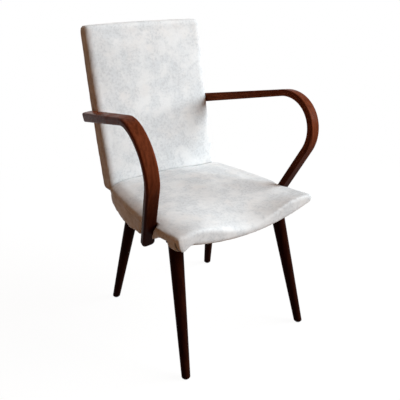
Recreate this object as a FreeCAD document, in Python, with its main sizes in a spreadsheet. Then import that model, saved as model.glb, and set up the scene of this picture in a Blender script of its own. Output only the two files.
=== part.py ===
"""Bridge chair: an upholstered armchair with bentwood arms, in millimetres.

The chair stands on the floor at z = 0, faces -Y and is symmetric about the plane x = 0.
Right-hand pieces are modelled at +X, and left-hand ones are their mirror images.
"""
import FreeCAD, Part
import math
import os
import re
import Sketcher
from types import SimpleNamespace

V = FreeCAD.Vector

# Driving dimensions: name, value and what it measures
SIZES = (
    # Seat, as covered
    ("seat_height", 419.0, "top of the seat along its side edges"),
    ("seat_front", 268.0, "front lip, ahead of the chair's middle"),
    ("seat_rear", 151.0, "rear face of the seat, behind the middle"),
    ("seat_half_width", 226.0, "half the width at the widest line"),
    ("seat_widest", 150.0, "widest line, ahead of the middle"),
    ("seat_rear_half_width", 194.0, "half the width at the rear face"),
    ("seat_crown", 22.0, "rise of the top's centre over its edges"),
    ("seat_crown_setback", 44.0, "highest point, behind the middle"),
    ("seat_dip", 46.0, "fall of the centre line from crown to lip"),
    ("corner_rise", 11.0, "lift of the front corners over the side edges"),
    ("corner_run", 118.0, "length over which the corners lift"),
    ("corner_depth", 22.0, "thickness of the seat's edge at the front corners"),
    ("lip_depth", 22.0, "thickness of the front lip at its centre"),
    ("nose_length", 22.0, "length of the rounded front nose"),
    ("nose_drop", 9.0, "fall of the top over the nose"),
    ("nose_lift", 3.0, "rise of the underside over the nose"),
    ("corner_round", 14.0, "drawing in of the front corners in plan"),
    ("rear_roll", 9.0, "length of the rounded rear edge"),
    ("rear_drop", 8.0, "fall of the top over the rear edge"),
    ("rear_draw", 2.0, "drawing in of the sides at the rear edge"),
    ("skirt_depth", 61.0, "side edge down to the lowest point of the cover"),
    ("skirt_radius", 495.0, "radius of the cover's bellied lower edge"),
    ("skirt_setback", 30.0, "lowest point of the belly, behind the middle"),
    ("side_draw", 2.5, "drawing in of the sides towards their lower edge"),
    ("shoulder", 14.0, "radius between the top and the sides"),
    ("cover_thickness", 2.0, "cloth with its lining"),
    # Seat structure
    ("edge_padding", 8.0, "panel's top below the side edges"),
    ("side_padding", 20.0, "panel and rails inside the cover's sides"),
    ("front_padding", 10.0, "panel's front edge behind the lip"),
    ("rear_padding", 8.0, "panel's rear edge inside the rear face"),
    ("panel_thickness", 8.0, "moulded plywood of the seat"),
    ("panel_bend", 120.0, "line ahead of the middle where the panel starts to bend"),
    ("panel_dip", 24.0, "fall of the panel's front edge at its centre"),
    ("panel_lift", 7.0, "lift of the panel's front corners"),
    ("rail_thickness", 22.0, "side rails, across the chair"),
    ("rail_reach", 140.0, "front ends of the side rails, ahead of the middle"),
    ("rear_rail_thickness", 14.0, "rear rail, front to back"),
    ("rear_rail_depth", 24.0, "rear rail, top to bottom"),
    ("bearer_depth", 39.0, "leg bearers, top to bottom"),
    ("bearer_width", 46.0, "leg bearers, front to back"),
    ("bearer_margin", 13.5, "front bearer's end beyond the leg's centre"),
    # Legs
    ("front_foot_x", 210.5, "front foot from the middle"),
    ("front_foot_y", 256.0, "front foot ahead of the middle"),
    ("front_top_x", 175.5, "front leg's top from the middle"),
    ("front_top_y", 175.0, "front leg's top ahead of the middle"),
    ("rear_foot_x", 192.5, "rear foot from the middle"),
    ("rear_foot_y", 212.5, "rear foot behind the middle"),
    ("rear_top_x", 148.0, "rear leg's top from the middle"),
    ("rear_top_y", 107.0, "rear leg's top behind the middle"),
    ("leg_top_diameter", 39.5, "turned leg under the bearer"),
    ("leg_foot_diameter", 24.0, "turned leg at its foot"),
    ("foot_rounding", 2.5, "rounding of the foot's edge"),
    ("tenon_diameter", 20.0, "turned tenon on the leg"),
    ("tenon_length", 26.0, "tenon above the leg's shoulder"),
    ("glide_diameter", 17.0, "glide under each foot"),
    ("glide_height", 4.0, "glide between foot and floor"),
    ("glide_pin_diameter", 3.0, "nail of the glide"),
    ("glide_pin_length", 14.0, "nail inside the foot"),
    # Back, as covered
    ("back_top", 880.0, "top of the back at its centre"),
    ("back_clearance", 12.0, "back's lower end below the seat's side edges"),
    ("back_foot", 152.0, "front surface's lower end, behind the middle"),
    ("back_lean", 80.0, "run of the front surface from its lower end to its top"),
    ("back_bow", 7.0, "hollow of the front surface"),
    ("back_half_width", 193.0, "half the width of the back"),
    ("back_lower_thickness", 60.0, "back at its lower end"),
    ("back_upper_thickness", 42.0, "back at its top"),
    ("back_crown", 10.0, "bulge of the padding at the centre"),
    ("back_arch", 3.0, "rise of the top edge towards its centre"),
    ("back_corner", 16.0, "rounding of the upper corners and sides"),
    ("back_side_draw", 12.0, "drawing in of the front face at the sides"),
    ("top_roll", 11.0, "rounding of the top edge"),
    ("bottom_roll", 12.0, "rounding of the lower edge"),
    # Back structure
    ("back_padding", 10.0, "padding between cover and panel at the sides"),
    ("back_side_padding", 9.0, "stiles inside the cover's sides"),
    ("back_end_padding", 12.0, "stiles' ends inside the top and lower edges"),
    ("back_panel_thickness", 4.0, "bent plywood of the back"),
    ("board_thickness", 3.0, "hardboard behind the frame"),
    ("board_gap", 0.4, "room between the rear board and the rear cover"),
    ("rear_margin", 24.0, "rear cover's edge inside the outline of the back"),
    ("stile_width", 22.0, "stiles, across the chair"),
    ("top_rail_depth", 34.0, "top rail, top to bottom"),
    ("arm_rail_depth", 40.0, "arm rail, top to bottom"),
    ("arm_rail_offset", 16.0, "arm rail's lower edge above the arm bolts"),
    ("bottom_rail_depth", 48.0, "bottom rail, top to bottom"),
    # Brackets between seat and back
    ("bracket_x", 95.0, "brackets from the middle"),
    ("bracket_width", 30.0, "flat bar's width"),
    ("bracket_thickness", 5.0, "flat bar's thickness"),
    ("bracket_bend", 9.0, "length that the outer bend takes of each leg"),
    ("bracket_room", 5.6, "bottom rail's front face behind the panel"),
    # Arms
    ("arm_width", 36.0, "bent strip, across the chair"),
    ("arm_rear_thickness", 28.0, "strip at its rear end"),
    ("arm_thickness", 19.0, "strip around the bend"),
    ("arm_bend_radius", 100.0, "bend, at the middle of the strip"),
    ("arm_rise_angle", 10.0, "rise of the arm rest, in degrees"),
    ("arm_turn_angle", 129.0, "turn of the bend, in degrees"),
    ("arm_lean_angle", 6.0, "outward lean of the arm's plane, in degrees"),
    ("arm_back_height", 631.0, "arm bolts at the back"),
    ("arm_back_gap", 11.0, "arm's inner face from the stile"),
    ("arm_fixing_shift", 5.0, "how far in front of a stile's middle the arm is bolted"),
    ("arm_seat_gap", 2.8, "arm's inner face from the side rail"),
    ("arm_seat_reach", 127.0, "arm bolts at the seat, ahead of the middle"),
    ("arm_tail", 14.0, "rear end behind its bolt"),
    ("arm_tongue", 51.0, "lower end below its bolt"),
    ("arm_edge_rounding", 5.5, "rounding of the strip's long edges"),
    ("arm_end_rounding", 12.0, "rounding of the strip's ends"),
    ("arm_seat_pressing", 0.3, "room between the arms and the pressed-in cover"),
    # Fasteners
    ("bolt_diameter", 6.0, "arm bolts"),
    ("bolt_head_diameter", 11.0, "arm bolts' heads"),
    ("bolt_head_height", 4.0, "arm bolts' heads"),
    ("bolt_seat_depth", 2.0, "flat seat cut into a rail for a bolt"),
    ("washer_diameter", 18.0, "washers under the heads"),
    ("washer_thickness", 1.6, "washers under the heads"),
    ("spacer_diameter", 14.0, "spacers between the frame and the arms"),
    ("insert_diameter", 11.0, "threaded inserts in the arms"),
    ("insert_length", 18.0, "threaded inserts in the arms"),
    ("insert_sink", 3.0, "inserts below the arm's inner face"),
    ("screw_diameter", 4.0, "wood screws"),
    ("screw_head_diameter", 8.0, "countersunk heads"),
    ("screw_head_height", 2.5, "countersunk heads"),
    ("screw_sink", 1.0, "depth of a screw head below the seat panel's surface"),
    ("panel_screw_length", 28.0, "screws through the seat panel"),
    ("bracket_screw_length", 22.0, "screws through the brackets"),
    ("dowel_diameter", 8.0, "dowels between rails"),
    ("dowel_length", 36.0, "dowels between rails"),
)

doc = FreeCAD.newDocument("bridge_chair")
sheet = doc.addObject("Spreadsheet::Sheet", "Sizes")
for row, (alias, number, meaning) in enumerate(SIZES, start=1):
    sheet.set(f"A{row}", alias)
    sheet.set(f"B{row}", str(number))
    sheet.set(f"C{row}", meaning)
    sheet.setAlias(f"B{row}", alias)
doc.recompute()
size = SimpleNamespace(**{alias: float(sheet.get(alias)) for alias, _, _ in SIZES})
ALIAS = re.compile(r"\b(" + "|".join(alias for alias, _, _ in SIZES) + r")\b")


# Bindings and small helpers


def cells(formula):
    """Return the formula with each size written as a cell of the sheet."""
    return ALIAS.sub(r"Sizes.\1", formula)


def value(formula):
    """Return the number that a formula of sizes comes to."""
    return float(sheet.evalExpression(cells(formula)))


def bind(thing, **formulas):
    """Bind properties of an object to formulas of sizes; Base__x stands for Placement.Base.x."""
    for name, formula in formulas.items():
        target = name.replace("Base__", "Placement.Base.")
        thing.setExpression(target, cells(formula))


def feature(kind, name, **formulas):
    """Add a document object whose properties follow formulas of sizes."""
    thing = doc.addObject(kind, name)
    bind(thing, **formulas)
    return thing


def shaped(name, shape):
    """Add an object that holds a shape worked out in code."""
    thing = doc.addObject("Part::Feature", name)
    thing.Shape = shape
    return thing


def cut(name, base, *tools):
    """Cut one object by others, in turn."""
    for number, tool in enumerate(tools, start=1):
        thing = doc.addObject("Part::Cut", f"{name}_{number}")
        thing.Base = base
        thing.Tool = tool
        base = thing
    return base


def group(name, things):
    """Hold several separate solids as one object."""
    thing = doc.addObject("Part::Compound", name)
    thing.Links = things
    return thing


def mirrored(name, source):
    """Return the mirror image of an object across the plane x = 0."""
    thing = doc.addObject("Part::Mirroring", name)
    thing.Source = source
    thing.Normal = V(1, 0, 0)
    return thing


def origin_plane(body, role):
    """Return one of a body's own origin planes."""
    return [datum for datum in body.Origin.OriginFeatures if datum.Role == role][0]


def arc_over(start, end, radius):
    """Return the arc of a radius from start to end; a positive one bulges to the left."""
    chord = end - start
    half = chord.Length / 2
    left = V(-chord.y, chord.x, 0).normalize()
    rise = abs(radius) - math.sqrt(radius * radius - half * half)
    middle = (start + end) * 0.5 + left * math.copysign(rise, radius)
    return Part.Arc(start, middle, end)


def number_of(entry):
    """Return the number of an outline entry, which is a formula or a plain number."""
    return value(entry) if isinstance(entry, str) else float(entry)


def outlined(body, role, corners, radii):
    """Sketch a closed outline on an origin plane of a body.

    Each corner is a pair of formulas or numbers. radii maps the number of a corner to the
    radius of the arc that leaves it. Every corner and radius is held by a constraint, and
    those that are formulas are bound to the sheet.
    """
    sketch = body.newObject("Sketcher::SketchObject", f"{body.Name}_outline")
    sketch.AttachmentSupport = (origin_plane(body, role), "")
    sketch.MapMode = "FlatFace"
    points = [V(number_of(across), number_of(up), 0) for across, up in corners]
    count = len(points)
    ends = []
    for index, start in enumerate(points):
        end = points[(index + 1) % count]
        if index in radii:
            sketch.addGeometry(arc_over(start, end, number_of(radii[index])), False)
        else:
            sketch.addGeometry(Part.LineSegment(start, end), False)
        forward = (sketch.getPoint(index, 1) - start).Length < 1e-6
        ends.append((1, 2) if forward else (2, 1))
    for index, (across, up) in enumerate(corners):
        following = (index + 1) % count
        joint = (index, ends[index][1], following, ends[following][0])
        sketch.addConstraint(Sketcher.Constraint("Coincident", *joint))
        for kind, entry in (("DistanceX", across), ("DistanceY", up)):
            held = (-1, 1, index, ends[index][0], number_of(entry))
            place = sketch.addConstraint(Sketcher.Constraint(kind, *held))
            if isinstance(entry, str):
                sketch.setExpression(f"Constraints[{place}]", cells(entry))
        if index in radii:
            bend = abs(number_of(radii[index]))
            place = sketch.addConstraint(Sketcher.Constraint("Radius", index, bend))
            if isinstance(radii[index], str):
                sketch.setExpression(f"Constraints[{place}]", cells(f"abs({radii[index]})"))
    return sketch


def padded(name, role, corners, length, radii=None, **formulas):
    """Make a body by padding an outline evenly to both sides of an origin plane."""
    body = doc.addObject("PartDesign::Body", name)
    pad = body.newObject("PartDesign::Pad", f"{name}_pad")
    pad.Profile = outlined(body, role, corners, radii or {})
    pad.Midplane = True
    bind(pad, Length=length)
    bind(body, **formulas)
    return body


def along(start, end):
    """Return the placement formula that stands the Z axis on start and points it at end."""
    run, rise, climb = (f"(({b}) - ({a}))" for a, b in zip(start, end))
    turn = f"rotation(vector(-{rise}; {run}; 0); atan2(hypot({run}; {rise}); {climb}))"
    return f"placement(vector({start[0]}; {start[1]}; {start[2]}); {turn})"


def pointing_x(start):
    """Return the placement formula that stands the Z axis on start and points it along +X."""
    return along(start, (f"({start[0]}) + 1", start[1], start[2]))


NODES = {}


def node(name, thing):
    """Label a finished sub-part with the name of its node."""
    thing.Label = name
    NODES[name] = thing
    return thing


# Shared heights and places, as formulas of the sizes
PANEL_TOP = "(seat_height - edge_padding)"
RAIL_TOP = f"({PANEL_TOP} - panel_thickness)"
BEARER_LOW = f"({RAIL_TOP} - bearer_depth)"
FRAME_REAR = "(seat_rear - rear_padding)"
PANEL_FRONT = "(seat_front - front_padding)"


def seat_half_at(y):
    """Return half the covered seat's width at a place along the chair."""
    share = f"((({y}) + seat_widest)/(seat_rear + seat_widest))"
    return f"(seat_half_width - (seat_half_width - seat_rear_half_width)*{share}^2)"


def skirt_at(y):
    """Return the height of the cover's bellied lower edge at a place along the chair."""
    return f"(seat_height - skirt_depth + (({y}) - skirt_setback)^2/(2*skirt_radius))"


def rail_outer_at(y):
    """Return the outer face of the side rail at a place along the chair."""
    return f"({seat_half_at(y)} - side_padding)"


def rail_inner_at(y):
    """Return the straight inner face of the side rail at a place along the chair."""
    front = rail_outer_at("-rail_reach")
    rear = rail_outer_at(FRAME_REAR)
    share = f"(({FRAME_REAR} - ({y}))/({FRAME_REAR} + rail_reach))"
    return f"({rear} + ({front} - {rear})*{share} - rail_thickness)"


# Soft forms: sections of lines and arcs, lofted


def ease(share):
    """Return how far a quarter round has fallen away at a share of its length."""
    return 1 - math.sqrt(1 - min(1.0, max(0.0, share)) ** 2)


LEAST_RISE = 0.02


def bowed(start, end, rise, up):
    """Return an arc that rises between its ends by a given height along a direction."""
    height = math.copysign(max(abs(rise), LEAST_RISE), rise)
    return Part.Arc(start, (start + end) * 0.5 + up * height, end)


def rolled(start, corner, end):
    """Return the arc that rounds a corner off between two points beside it."""
    middle = corner + (start + end - corner * 2) * (1 - math.sqrt(0.5))
    return Part.Arc(start, middle, end)


def wire_of(*curves):
    """Return the closed wire of consecutive curves."""
    return Part.Wire([curve.toShape() for curve in curves])


def ends_and_middle(first, last, middle_count, shares, last_shares):
    """Return stations that crowd towards two rounded ends, given as (end, inner end)."""
    (start, start_inner), (stop, stop_inner) = first, last
    stations = [start_inner + (start - start_inner) * share for share in shares]
    step = (stop_inner - start_inner) / (middle_count + 1)
    stations += [start_inner + step * index for index in range(1, middle_count + 1)]
    stations += [stop_inner + (stop - stop_inner) * share for share in last_shares]
    return stations


def seat_stations():
    """Return places along the chair from the seat's rear face to its front lip."""
    rear = (size.seat_rear, size.seat_rear - size.rear_roll)
    front = (-size.seat_front, size.nose_length - size.seat_front)
    return ends_and_middle(rear, front, 6, (0.98, 0.7, 0), (0, 0.55, 0.85, 0.98))


UP = V(0, 0, 1)


def seat_section(y, inset, drop):
    """Return the covered seat's outline across the chair.

    inset draws it in by a thickness of cloth, and drop carries its sides further down.
    """
    nose = ease(1 - (size.seat_front + y) / size.nose_length)
    tail = ease(1 - (size.seat_rear - y) / size.rear_roll)
    fall = size.nose_drop * nose + size.rear_drop * tail + inset
    corner_share = max(0.0, 1 - (size.seat_front + y) / size.corner_run)
    edge = size.seat_height + size.corner_rise * corner_share ** 2
    crown_share = (y - size.seat_crown_setback) / (size.seat_front + size.seat_crown_setback)
    centre = size.seat_height + size.seat_crown - size.seat_dip * crown_share ** 2
    low = min(value(skirt_at(y)), edge - size.corner_depth)
    lip = min(low, centre - size.lip_depth)
    low += size.nose_lift * nose
    lip += size.nose_lift * nose
    edge -= fall
    centre -= fall
    half = value(seat_half_at(y)) - inset
    half -= size.corner_round * nose + size.rear_draw * tail
    shoulder = min(size.shoulder, 0.45 * (edge - low))
    lean = size.side_draw / (edge - shoulder - low)
    foot = half - size.side_draw - lean * drop
    low -= drop
    lip -= drop
    length = size.seat_front + size.seat_rear
    plane = y + inset * (1 - 2 * (y + size.seat_front) / length)
    left_foot, right_foot = V(-foot, plane, low), V(foot, plane, low)
    left, right = V(-half, plane, edge - shoulder), V(half, plane, edge - shoulder)
    left_top, right_top = V(shoulder - half, plane, edge), V(half - shoulder, plane, edge)
    return wire_of(
        Part.LineSegment(left_foot, left),
        rolled(left, V(-half, plane, edge), left_top),
        bowed(left_top, right_top, centre - edge, UP),
        rolled(right_top, V(half, plane, edge), right),
        Part.LineSegment(right, right_foot),
        bowed(right_foot, left_foot, lip - low, UP),
    )


def seat_form(inset, drop):
    """Return the solid of the covered seat, drawn in by a thickness of cloth."""
    sections = [seat_section(y, inset, drop) for y in seat_stations()]
    return Part.makeLoft(sections, True, False)


def panel_section(y, lift, depth):
    """Return the seat panel's outline across the chair.

    lift raises its top, and depth is measured down from the top as it was.
    """
    front = value(PANEL_FRONT)
    bend = max(0.0, (-y - size.panel_bend) / (front - size.panel_bend))
    nose = ease(1 - (front + y) / size.nose_length)
    top = value(PANEL_TOP)
    centre = top - size.panel_dip * bend ** 1.5
    edge = top + size.panel_lift * bend ** 2
    half = value(seat_half_at(y)) - size.side_padding - size.corner_round * nose
    left_low, right_low = V(-half, y, edge - depth), V(half, y, edge - depth)
    left, right = V(-half, y, edge + lift), V(half, y, edge + lift)
    return wire_of(
        Part.LineSegment(left_low, left),
        bowed(left, right, centre - edge, UP),
        Part.LineSegment(right, right_low),
        bowed(right_low, left_low, centre - edge, UP),
    )


def panel_form(lift, depth):
    """Return a solid that follows the moulded seat panel between two heights."""
    rear = (value(FRAME_REAR), 0.0)
    front = (-value(PANEL_FRONT), -size.panel_bend)
    stations = ends_and_middle(rear, front, 1, (1, 0.5, 0), (0, 0.25, 0.5, 0.75, 0.9, 1))
    sections = [panel_section(y, lift, depth) for y in stations]
    return Part.makeLoft(sections, True, True)


# Back: the front surface leans and is hollow, and the thickness falls towards the top
BACK_LOW = "(seat_height - back_clearance)"
STILE_LOW = f"({BACK_LOW} + back_end_padding)"
STILE_HIGH = "(back_top - back_end_padding)"
PANEL_FACE = "(cover_thickness + back_padding)"
FRAME_FACE = f"({PANEL_FACE} + back_panel_thickness)"
BOARD_REAR = "(cover_thickness + board_gap)"
BOARD_FACE = f"({BOARD_REAR} + board_thickness)"
BACK_RADIUS = f"(((back_top - {BACK_LOW})^2 + back_lean^2)/(8*back_bow))"
STILE_OUTER = "(back_half_width - back_side_padding)"
STILE_INNER = f"({STILE_OUTER} - stile_width)"


def back_share(z):
    """Return how far up the back a height lies."""
    return f"((({z}) - {BACK_LOW})/(back_top - {BACK_LOW}))"


def back_front_at(z):
    """Return the back's front surface at a height."""
    share = back_share(z)
    return f"(back_foot + back_lean*{share} + 4*back_bow*{share}*(1 - {share}))"


def back_rear_at(z):
    """Return the back's rear surface at a height."""
    fall = "(back_lower_thickness - back_upper_thickness)"
    return f"({back_front_at(z)} + back_lower_thickness - {fall}*{back_share(z)})"


def back_section(x, inset):
    """Return the covered back's outline, front to back, drawn in by a thickness of cloth."""
    half = size.back_half_width
    round_off = ease((abs(x) - half + size.back_corner) / size.back_corner)
    draw = size.back_side_draw * round_off
    flat = 1 - (x / half) ** 2
    top = size.back_top - size.back_arch * (1 - flat) - size.back_corner * round_off - inset
    low = value(BACK_LOW) + size.bottom_roll * round_off / 2 + inset
    plane = x * (1 - inset / half)

    def front(z):
        return V(plane, value(back_front_at(z)) + draw + inset, z)

    def rear(z):
        return V(plane, value(back_rear_at(z)) - draw / 2 - inset, z)

    upper = min(size.top_roll, 0.42 * (rear(top).y - front(top).y))
    lower = min(size.bottom_roll, 0.42 * (rear(low).y - front(low).y))
    front_high, rear_high = front(top - upper), rear(top - upper)
    front_low, rear_low = front(low + lower), rear(low + lower)
    middle = (top - upper + low + lower) / 2
    forward = V(0, 1, 0)
    chord = (front_high + front_low) * 0.5
    hollow = front(middle).y - chord.y - size.back_crown * flat
    rear_chord = (rear_high + rear_low) * 0.5
    swell = rear(middle).y - rear_chord.y
    step_high, step_low = V(0, upper, 0), V(0, lower, 0)
    return wire_of(
        bowed(front_low, front_high, hollow, forward),
        rolled(front_high, front(top), front(top) + step_high),
        Part.LineSegment(front(top) + step_high, rear(top) - step_high),
        rolled(rear(top) - step_high, rear(top), rear_high),
        bowed(rear_high, rear_low, swell, forward),
        rolled(rear_low, rear(low), rear(low) - step_low),
        Part.LineSegment(rear(low) - step_low, front(low) + step_low),
        rolled(front(low) + step_low, front(low), front_low),
    )


def back_form(inset):
    """Return the solid of the covered back, drawn in by a thickness of cloth."""
    half = size.back_half_width
    side = (-half, size.back_corner - half)
    other = (half, half - size.back_corner)
    stations = ends_and_middle(side, other, 3, (0.98, 0.85, 0.55, 0), (0, 0.55, 0.85, 0.98))
    return Part.makeLoft([back_section(x, inset) for x in stations], True, False)


# Seat structure

panel_blank = shaped("panel_blank", panel_form(0, size.panel_thickness))
panel_space = shaped("panel_space", panel_form(2 * size.bearer_depth, size.panel_thickness))


def side_rail_blank():
    """Make the right side rail: bowed in plan, with a bellied lower edge."""
    plan = padded(
        "side_rail_plan",
        "XY_Plane",
        [
            (rail_inner_at(FRAME_REAR), FRAME_REAR),
            (rail_inner_at("-rail_reach"), "-rail_reach"),
            (rail_outer_at("-rail_reach"), "-rail_reach"),
            (rail_outer_at(FRAME_REAR), FRAME_REAR),
        ],
        f"2*{RAIL_TOP}",
        {2: "-(seat_rear + seat_widest)^2/(2*(seat_half_width - seat_rear_half_width))"},
    )
    side = padded(
        "side_rail_side",
        "YZ_Plane",
        [
            (FRAME_REAR, RAIL_TOP),
            ("-rail_reach", RAIL_TOP),
            ("-rail_reach", f"{skirt_at('-rail_reach')} + cover_thickness"),
            (FRAME_REAR, f"{skirt_at(FRAME_REAR)} + cover_thickness"),
        ],
        "4*seat_half_width",
        {2: "-skirt_radius"},
    )
    rail = doc.addObject("Part::Common", "side_rail_blank")
    rail.Base = plan
    rail.Tool = side
    return rail


def cross_piece(name, front, rear, low):
    """Make a piece that spans from side rail to side rail under the panel."""
    return padded(
        name,
        "XY_Plane",
        [
            (f"-{rail_inner_at(rear)}", rear),
            (f"-{rail_inner_at(front)}", front),
            (rail_inner_at(front), front),
            (rail_inner_at(rear), rear),
        ],
        f"{RAIL_TOP} - ({low})",
        Base__z=f"({RAIL_TOP} + ({low}))/2",
    )


def tenon_middle(foot, top):
    """Return where a leg's axis is, front to back, half way up its tenon."""
    return f"({top} + ({top} - ({foot}))*tenon_length/(2*{BEARER_LOW}))"


FRONT_BEARER = tenon_middle("-front_foot_y", "-front_top_y")
REAR_BEARER = tenon_middle("rear_foot_y", "rear_top_y")

side_rail = side_rail_blank()
rear_rail = cross_piece(
    "rear_rail_blank",
    f"{FRAME_REAR} - rear_rail_thickness",
    FRAME_REAR,
    f"{RAIL_TOP} - rear_rail_depth",
)
rear_bearer = cross_piece(
    "rear_bearer_blank",
    f"{REAR_BEARER} - bearer_width/2",
    f"{REAR_BEARER} + bearer_width/2",
    BEARER_LOW,
)
front_beam = feature(
    "Part::Box",
    "front_beam",
    Length="2*(front_top_x + bearer_margin)",
    Width="bearer_width",
    Height="bearer_depth + panel_lift",
    Base__x="-front_top_x - bearer_margin",
    Base__y=f"{FRONT_BEARER} - bearer_width/2",
    Base__z=BEARER_LOW,
)
front_bearer = cut("front_bearer_blank", front_beam, panel_space)

# Legs, turned tenons and glides

TRIM = 0.06
SINK = 0.025


def leg_pieces(name, foot, top):
    """Make a right leg with its tenon, and the glide under it."""
    start = (*foot, "0")
    end = (*top, BEARER_LOW)

    def on_axis(share):
        return tuple(f"(({a}) + (({b}) - ({a}))*({share}))" for a, b in zip(start, end))

    across = f"hypot(({end[0]}) - ({start[0]}); ({end[1]}) - ({start[1]}))"
    length = f"hypot({across}; {BEARER_LOW})"
    widening = f"{TRIM}*(leg_top_diameter - leg_foot_diameter)/2"
    taper = feature(
        "Part::Cone",
        f"{name}_taper",
        Radius1=f"leg_foot_diameter/2 - {widening}",
        Radius2=f"leg_top_diameter/2 + {widening}",
        Height=f"{length}*{1 + 2 * TRIM}",
        Placement=along(on_axis(-TRIM), on_axis(1 + TRIM)),
    )
    between = feature(
        "Part::Box",
        f"{name}_between",
        Length="4*seat_front",
        Width="4*seat_front",
        Height=f"{BEARER_LOW} - glide_height",
        Base__x="-2*seat_front",
        Base__y="-2*seat_front",
        Base__z="glide_height",
    )
    turned = doc.addObject("Part::Common", f"{name}_turned")
    turned.Base = taper
    turned.Tool = between
    doc.recompute()
    lowest = [
        index
        for index, edge in enumerate(turned.Shape.Edges, start=1)
        if edge.BoundBox.ZMax < size.glide_height + 0.01
    ]
    rounded = doc.addObject("Part::Fillet", f"{name}_rounded")
    rounded.Base = turned
    rounded.Edges = [(index, size.foot_rounding, size.foot_rounding) for index in lowest]
    tenon = feature(
        "Part::Cylinder",
        f"{name}_tenon",
        Radius="tenon_diameter/2",
        Height=f"tenon_length + {SINK}*{length}",
        Placement=along(on_axis(1 - SINK), on_axis(1)),
    )
    foot_x, foot_y, _ = on_axis(f"glide_height/{BEARER_LOW}")
    disc = feature(
        "Part::Cone",
        f"{name}_glide_disc",
        Radius1="glide_diameter/2 - 1",
        Radius2="glide_diameter/2",
        Height="glide_height",
        Base__x=foot_x,
        Base__y=foot_y,
    )
    pin = feature(
        "Part::Cylinder",
        f"{name}_glide_pin",
        Radius="glide_pin_diameter/2",
        Height="glide_height + glide_pin_length",
        Base__x=foot_x,
        Base__y=foot_y,
    )
    glide = doc.addObject("Part::Fuse", f"{name}_glide")
    glide.Base = disc
    glide.Tool = pin
    leg = doc.addObject("Part::Fuse", f"{name}_whole")
    leg.Base = rounded
    leg.Tool = tenon
    return cut(f"{name}_bored", leg, glide), glide, tenon


front_leg, front_glide, front_tenon = leg_pieces(
    "front_leg", ("front_foot_x", "-front_foot_y"), ("front_top_x", "-front_top_y")
)
rear_leg, rear_glide, rear_tenon = leg_pieces(
    "rear_leg", ("rear_foot_x", "rear_foot_y"), ("rear_top_x", "rear_top_y")
)

# Back structure


def back_band(name, near, far, low, high, length, **formulas):
    """Make a piece that follows the back's curve between two offsets and two heights.

    near and far are pairs of a surface and an offset from it, towards the rear.
    """
    (near_at, near_step), (far_at, far_step) = near, far
    return padded(
        name,
        "YZ_Plane",
        [
            (f"{near_at(low)} + ({near_step})", low),
            (f"{near_at(high)} + ({near_step})", high),
            (f"{far_at(high)} + ({far_step})", high),
            (f"{far_at(low)} + ({far_step})", low),
        ],
        length,
        {0: f"-{BACK_RADIUS}", 2: BACK_RADIUS},
        **formulas,
    )


def frame_piece(name, low, high, length, recess="0", **formulas):
    """Make a piece of the back frame, between the bent panel and the rear board."""
    near = (back_front_at, f"{FRAME_FACE} + {recess}")
    far = (back_rear_at, f"-{BOARD_FACE}")
    return back_band(name, near, far, low, high, length, **formulas)


stile = frame_piece(
    "stile_blank",
    STILE_LOW,
    STILE_HIGH,
    "stile_width",
    Base__x=f"({STILE_OUTER} + {STILE_INNER})/2",
)
ARM_RAIL_LOW = "(arm_back_height + arm_rail_offset)"
BACK_RAILS = {
    "top": (f"({STILE_HIGH} - top_rail_depth)", STILE_HIGH),
    "arm": (ARM_RAIL_LOW, f"({ARM_RAIL_LOW} + arm_rail_depth)"),
    "bottom": (STILE_LOW, f"({STILE_LOW} + bottom_rail_depth)"),
}
back_rails = {
    name: frame_piece(
        f"{name}_rail_blank",
        low,
        high,
        f"2*{STILE_INNER}",
        "bracket_room" if name == "bottom" else "0",
    )
    for name, (low, high) in BACK_RAILS.items()
}
back_panel = back_band(
    "back_panel_blank",
    (back_front_at, PANEL_FACE),
    (back_front_at, FRAME_FACE),
    STILE_LOW,
    STILE_HIGH,
    f"2*{STILE_OUTER}",
)
REAR_LOW = f"({BACK_LOW} + rear_margin)"
REAR_HIGH = "(back_top - rear_margin)"
rear_board = back_band(
    "rear_board_blank",
    (back_rear_at, f"-{BOARD_FACE}"),
    (back_rear_at, f"-{BOARD_REAR}"),
    REAR_LOW,
    REAR_HIGH,
    "2*(back_half_width - rear_margin)",
)
OPEN_REAR = "back_lower_thickness"
frame_space = back_band(
    "frame_space",
    (back_front_at, PANEL_FACE),
    (back_rear_at, OPEN_REAR),
    STILE_LOW,
    STILE_HIGH,
    f"2*{STILE_OUTER}",
)
rear_space = back_band(
    "rear_space",
    (back_front_at, FRAME_FACE),
    (back_rear_at, OPEN_REAR),
    REAR_LOW,
    REAR_HIGH,
    "2*(back_half_width - rear_margin)",
)

# Brackets: flat bars from under the rear bearer up the front of the back's bottom rail
BRACKET_SLOPE = f"((back_lean + 4*back_bow)/(back_top - {BACK_LOW}))"
BRACKET_STRETCH = f"sqrt(1 + {BRACKET_SLOPE}^2)"
BRACKET_LOW = f"({BEARER_LOW} - bracket_thickness)"
BRACKET_HIGH = BACK_RAILS["bottom"][1]


def bracket_front_at(z):
    """Return the front face of a bracket's upper leg at a height."""
    return f"(back_foot + {FRAME_FACE} + {BRACKET_SLOPE}*(({z}) - {BACK_LOW}))"


def bracket_rear_at(z):
    """Return the rear face of a bracket's upper leg at a height."""
    return f"({bracket_front_at(z)} + bracket_thickness*{BRACKET_STRETCH})"


def bracket_turn(corner, height, radius):
    """Return the two ends of a bracket's bend, below it and above it."""
    reach = f"(({radius})*({BRACKET_STRETCH} - {BRACKET_SLOPE}))"
    below = (f"{corner} - {reach}", height)
    rise = f"{reach}/{BRACKET_STRETCH}"
    above = (f"{corner} + {rise}*{BRACKET_SLOPE}", f"{height} + {rise}")
    return below, above


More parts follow.
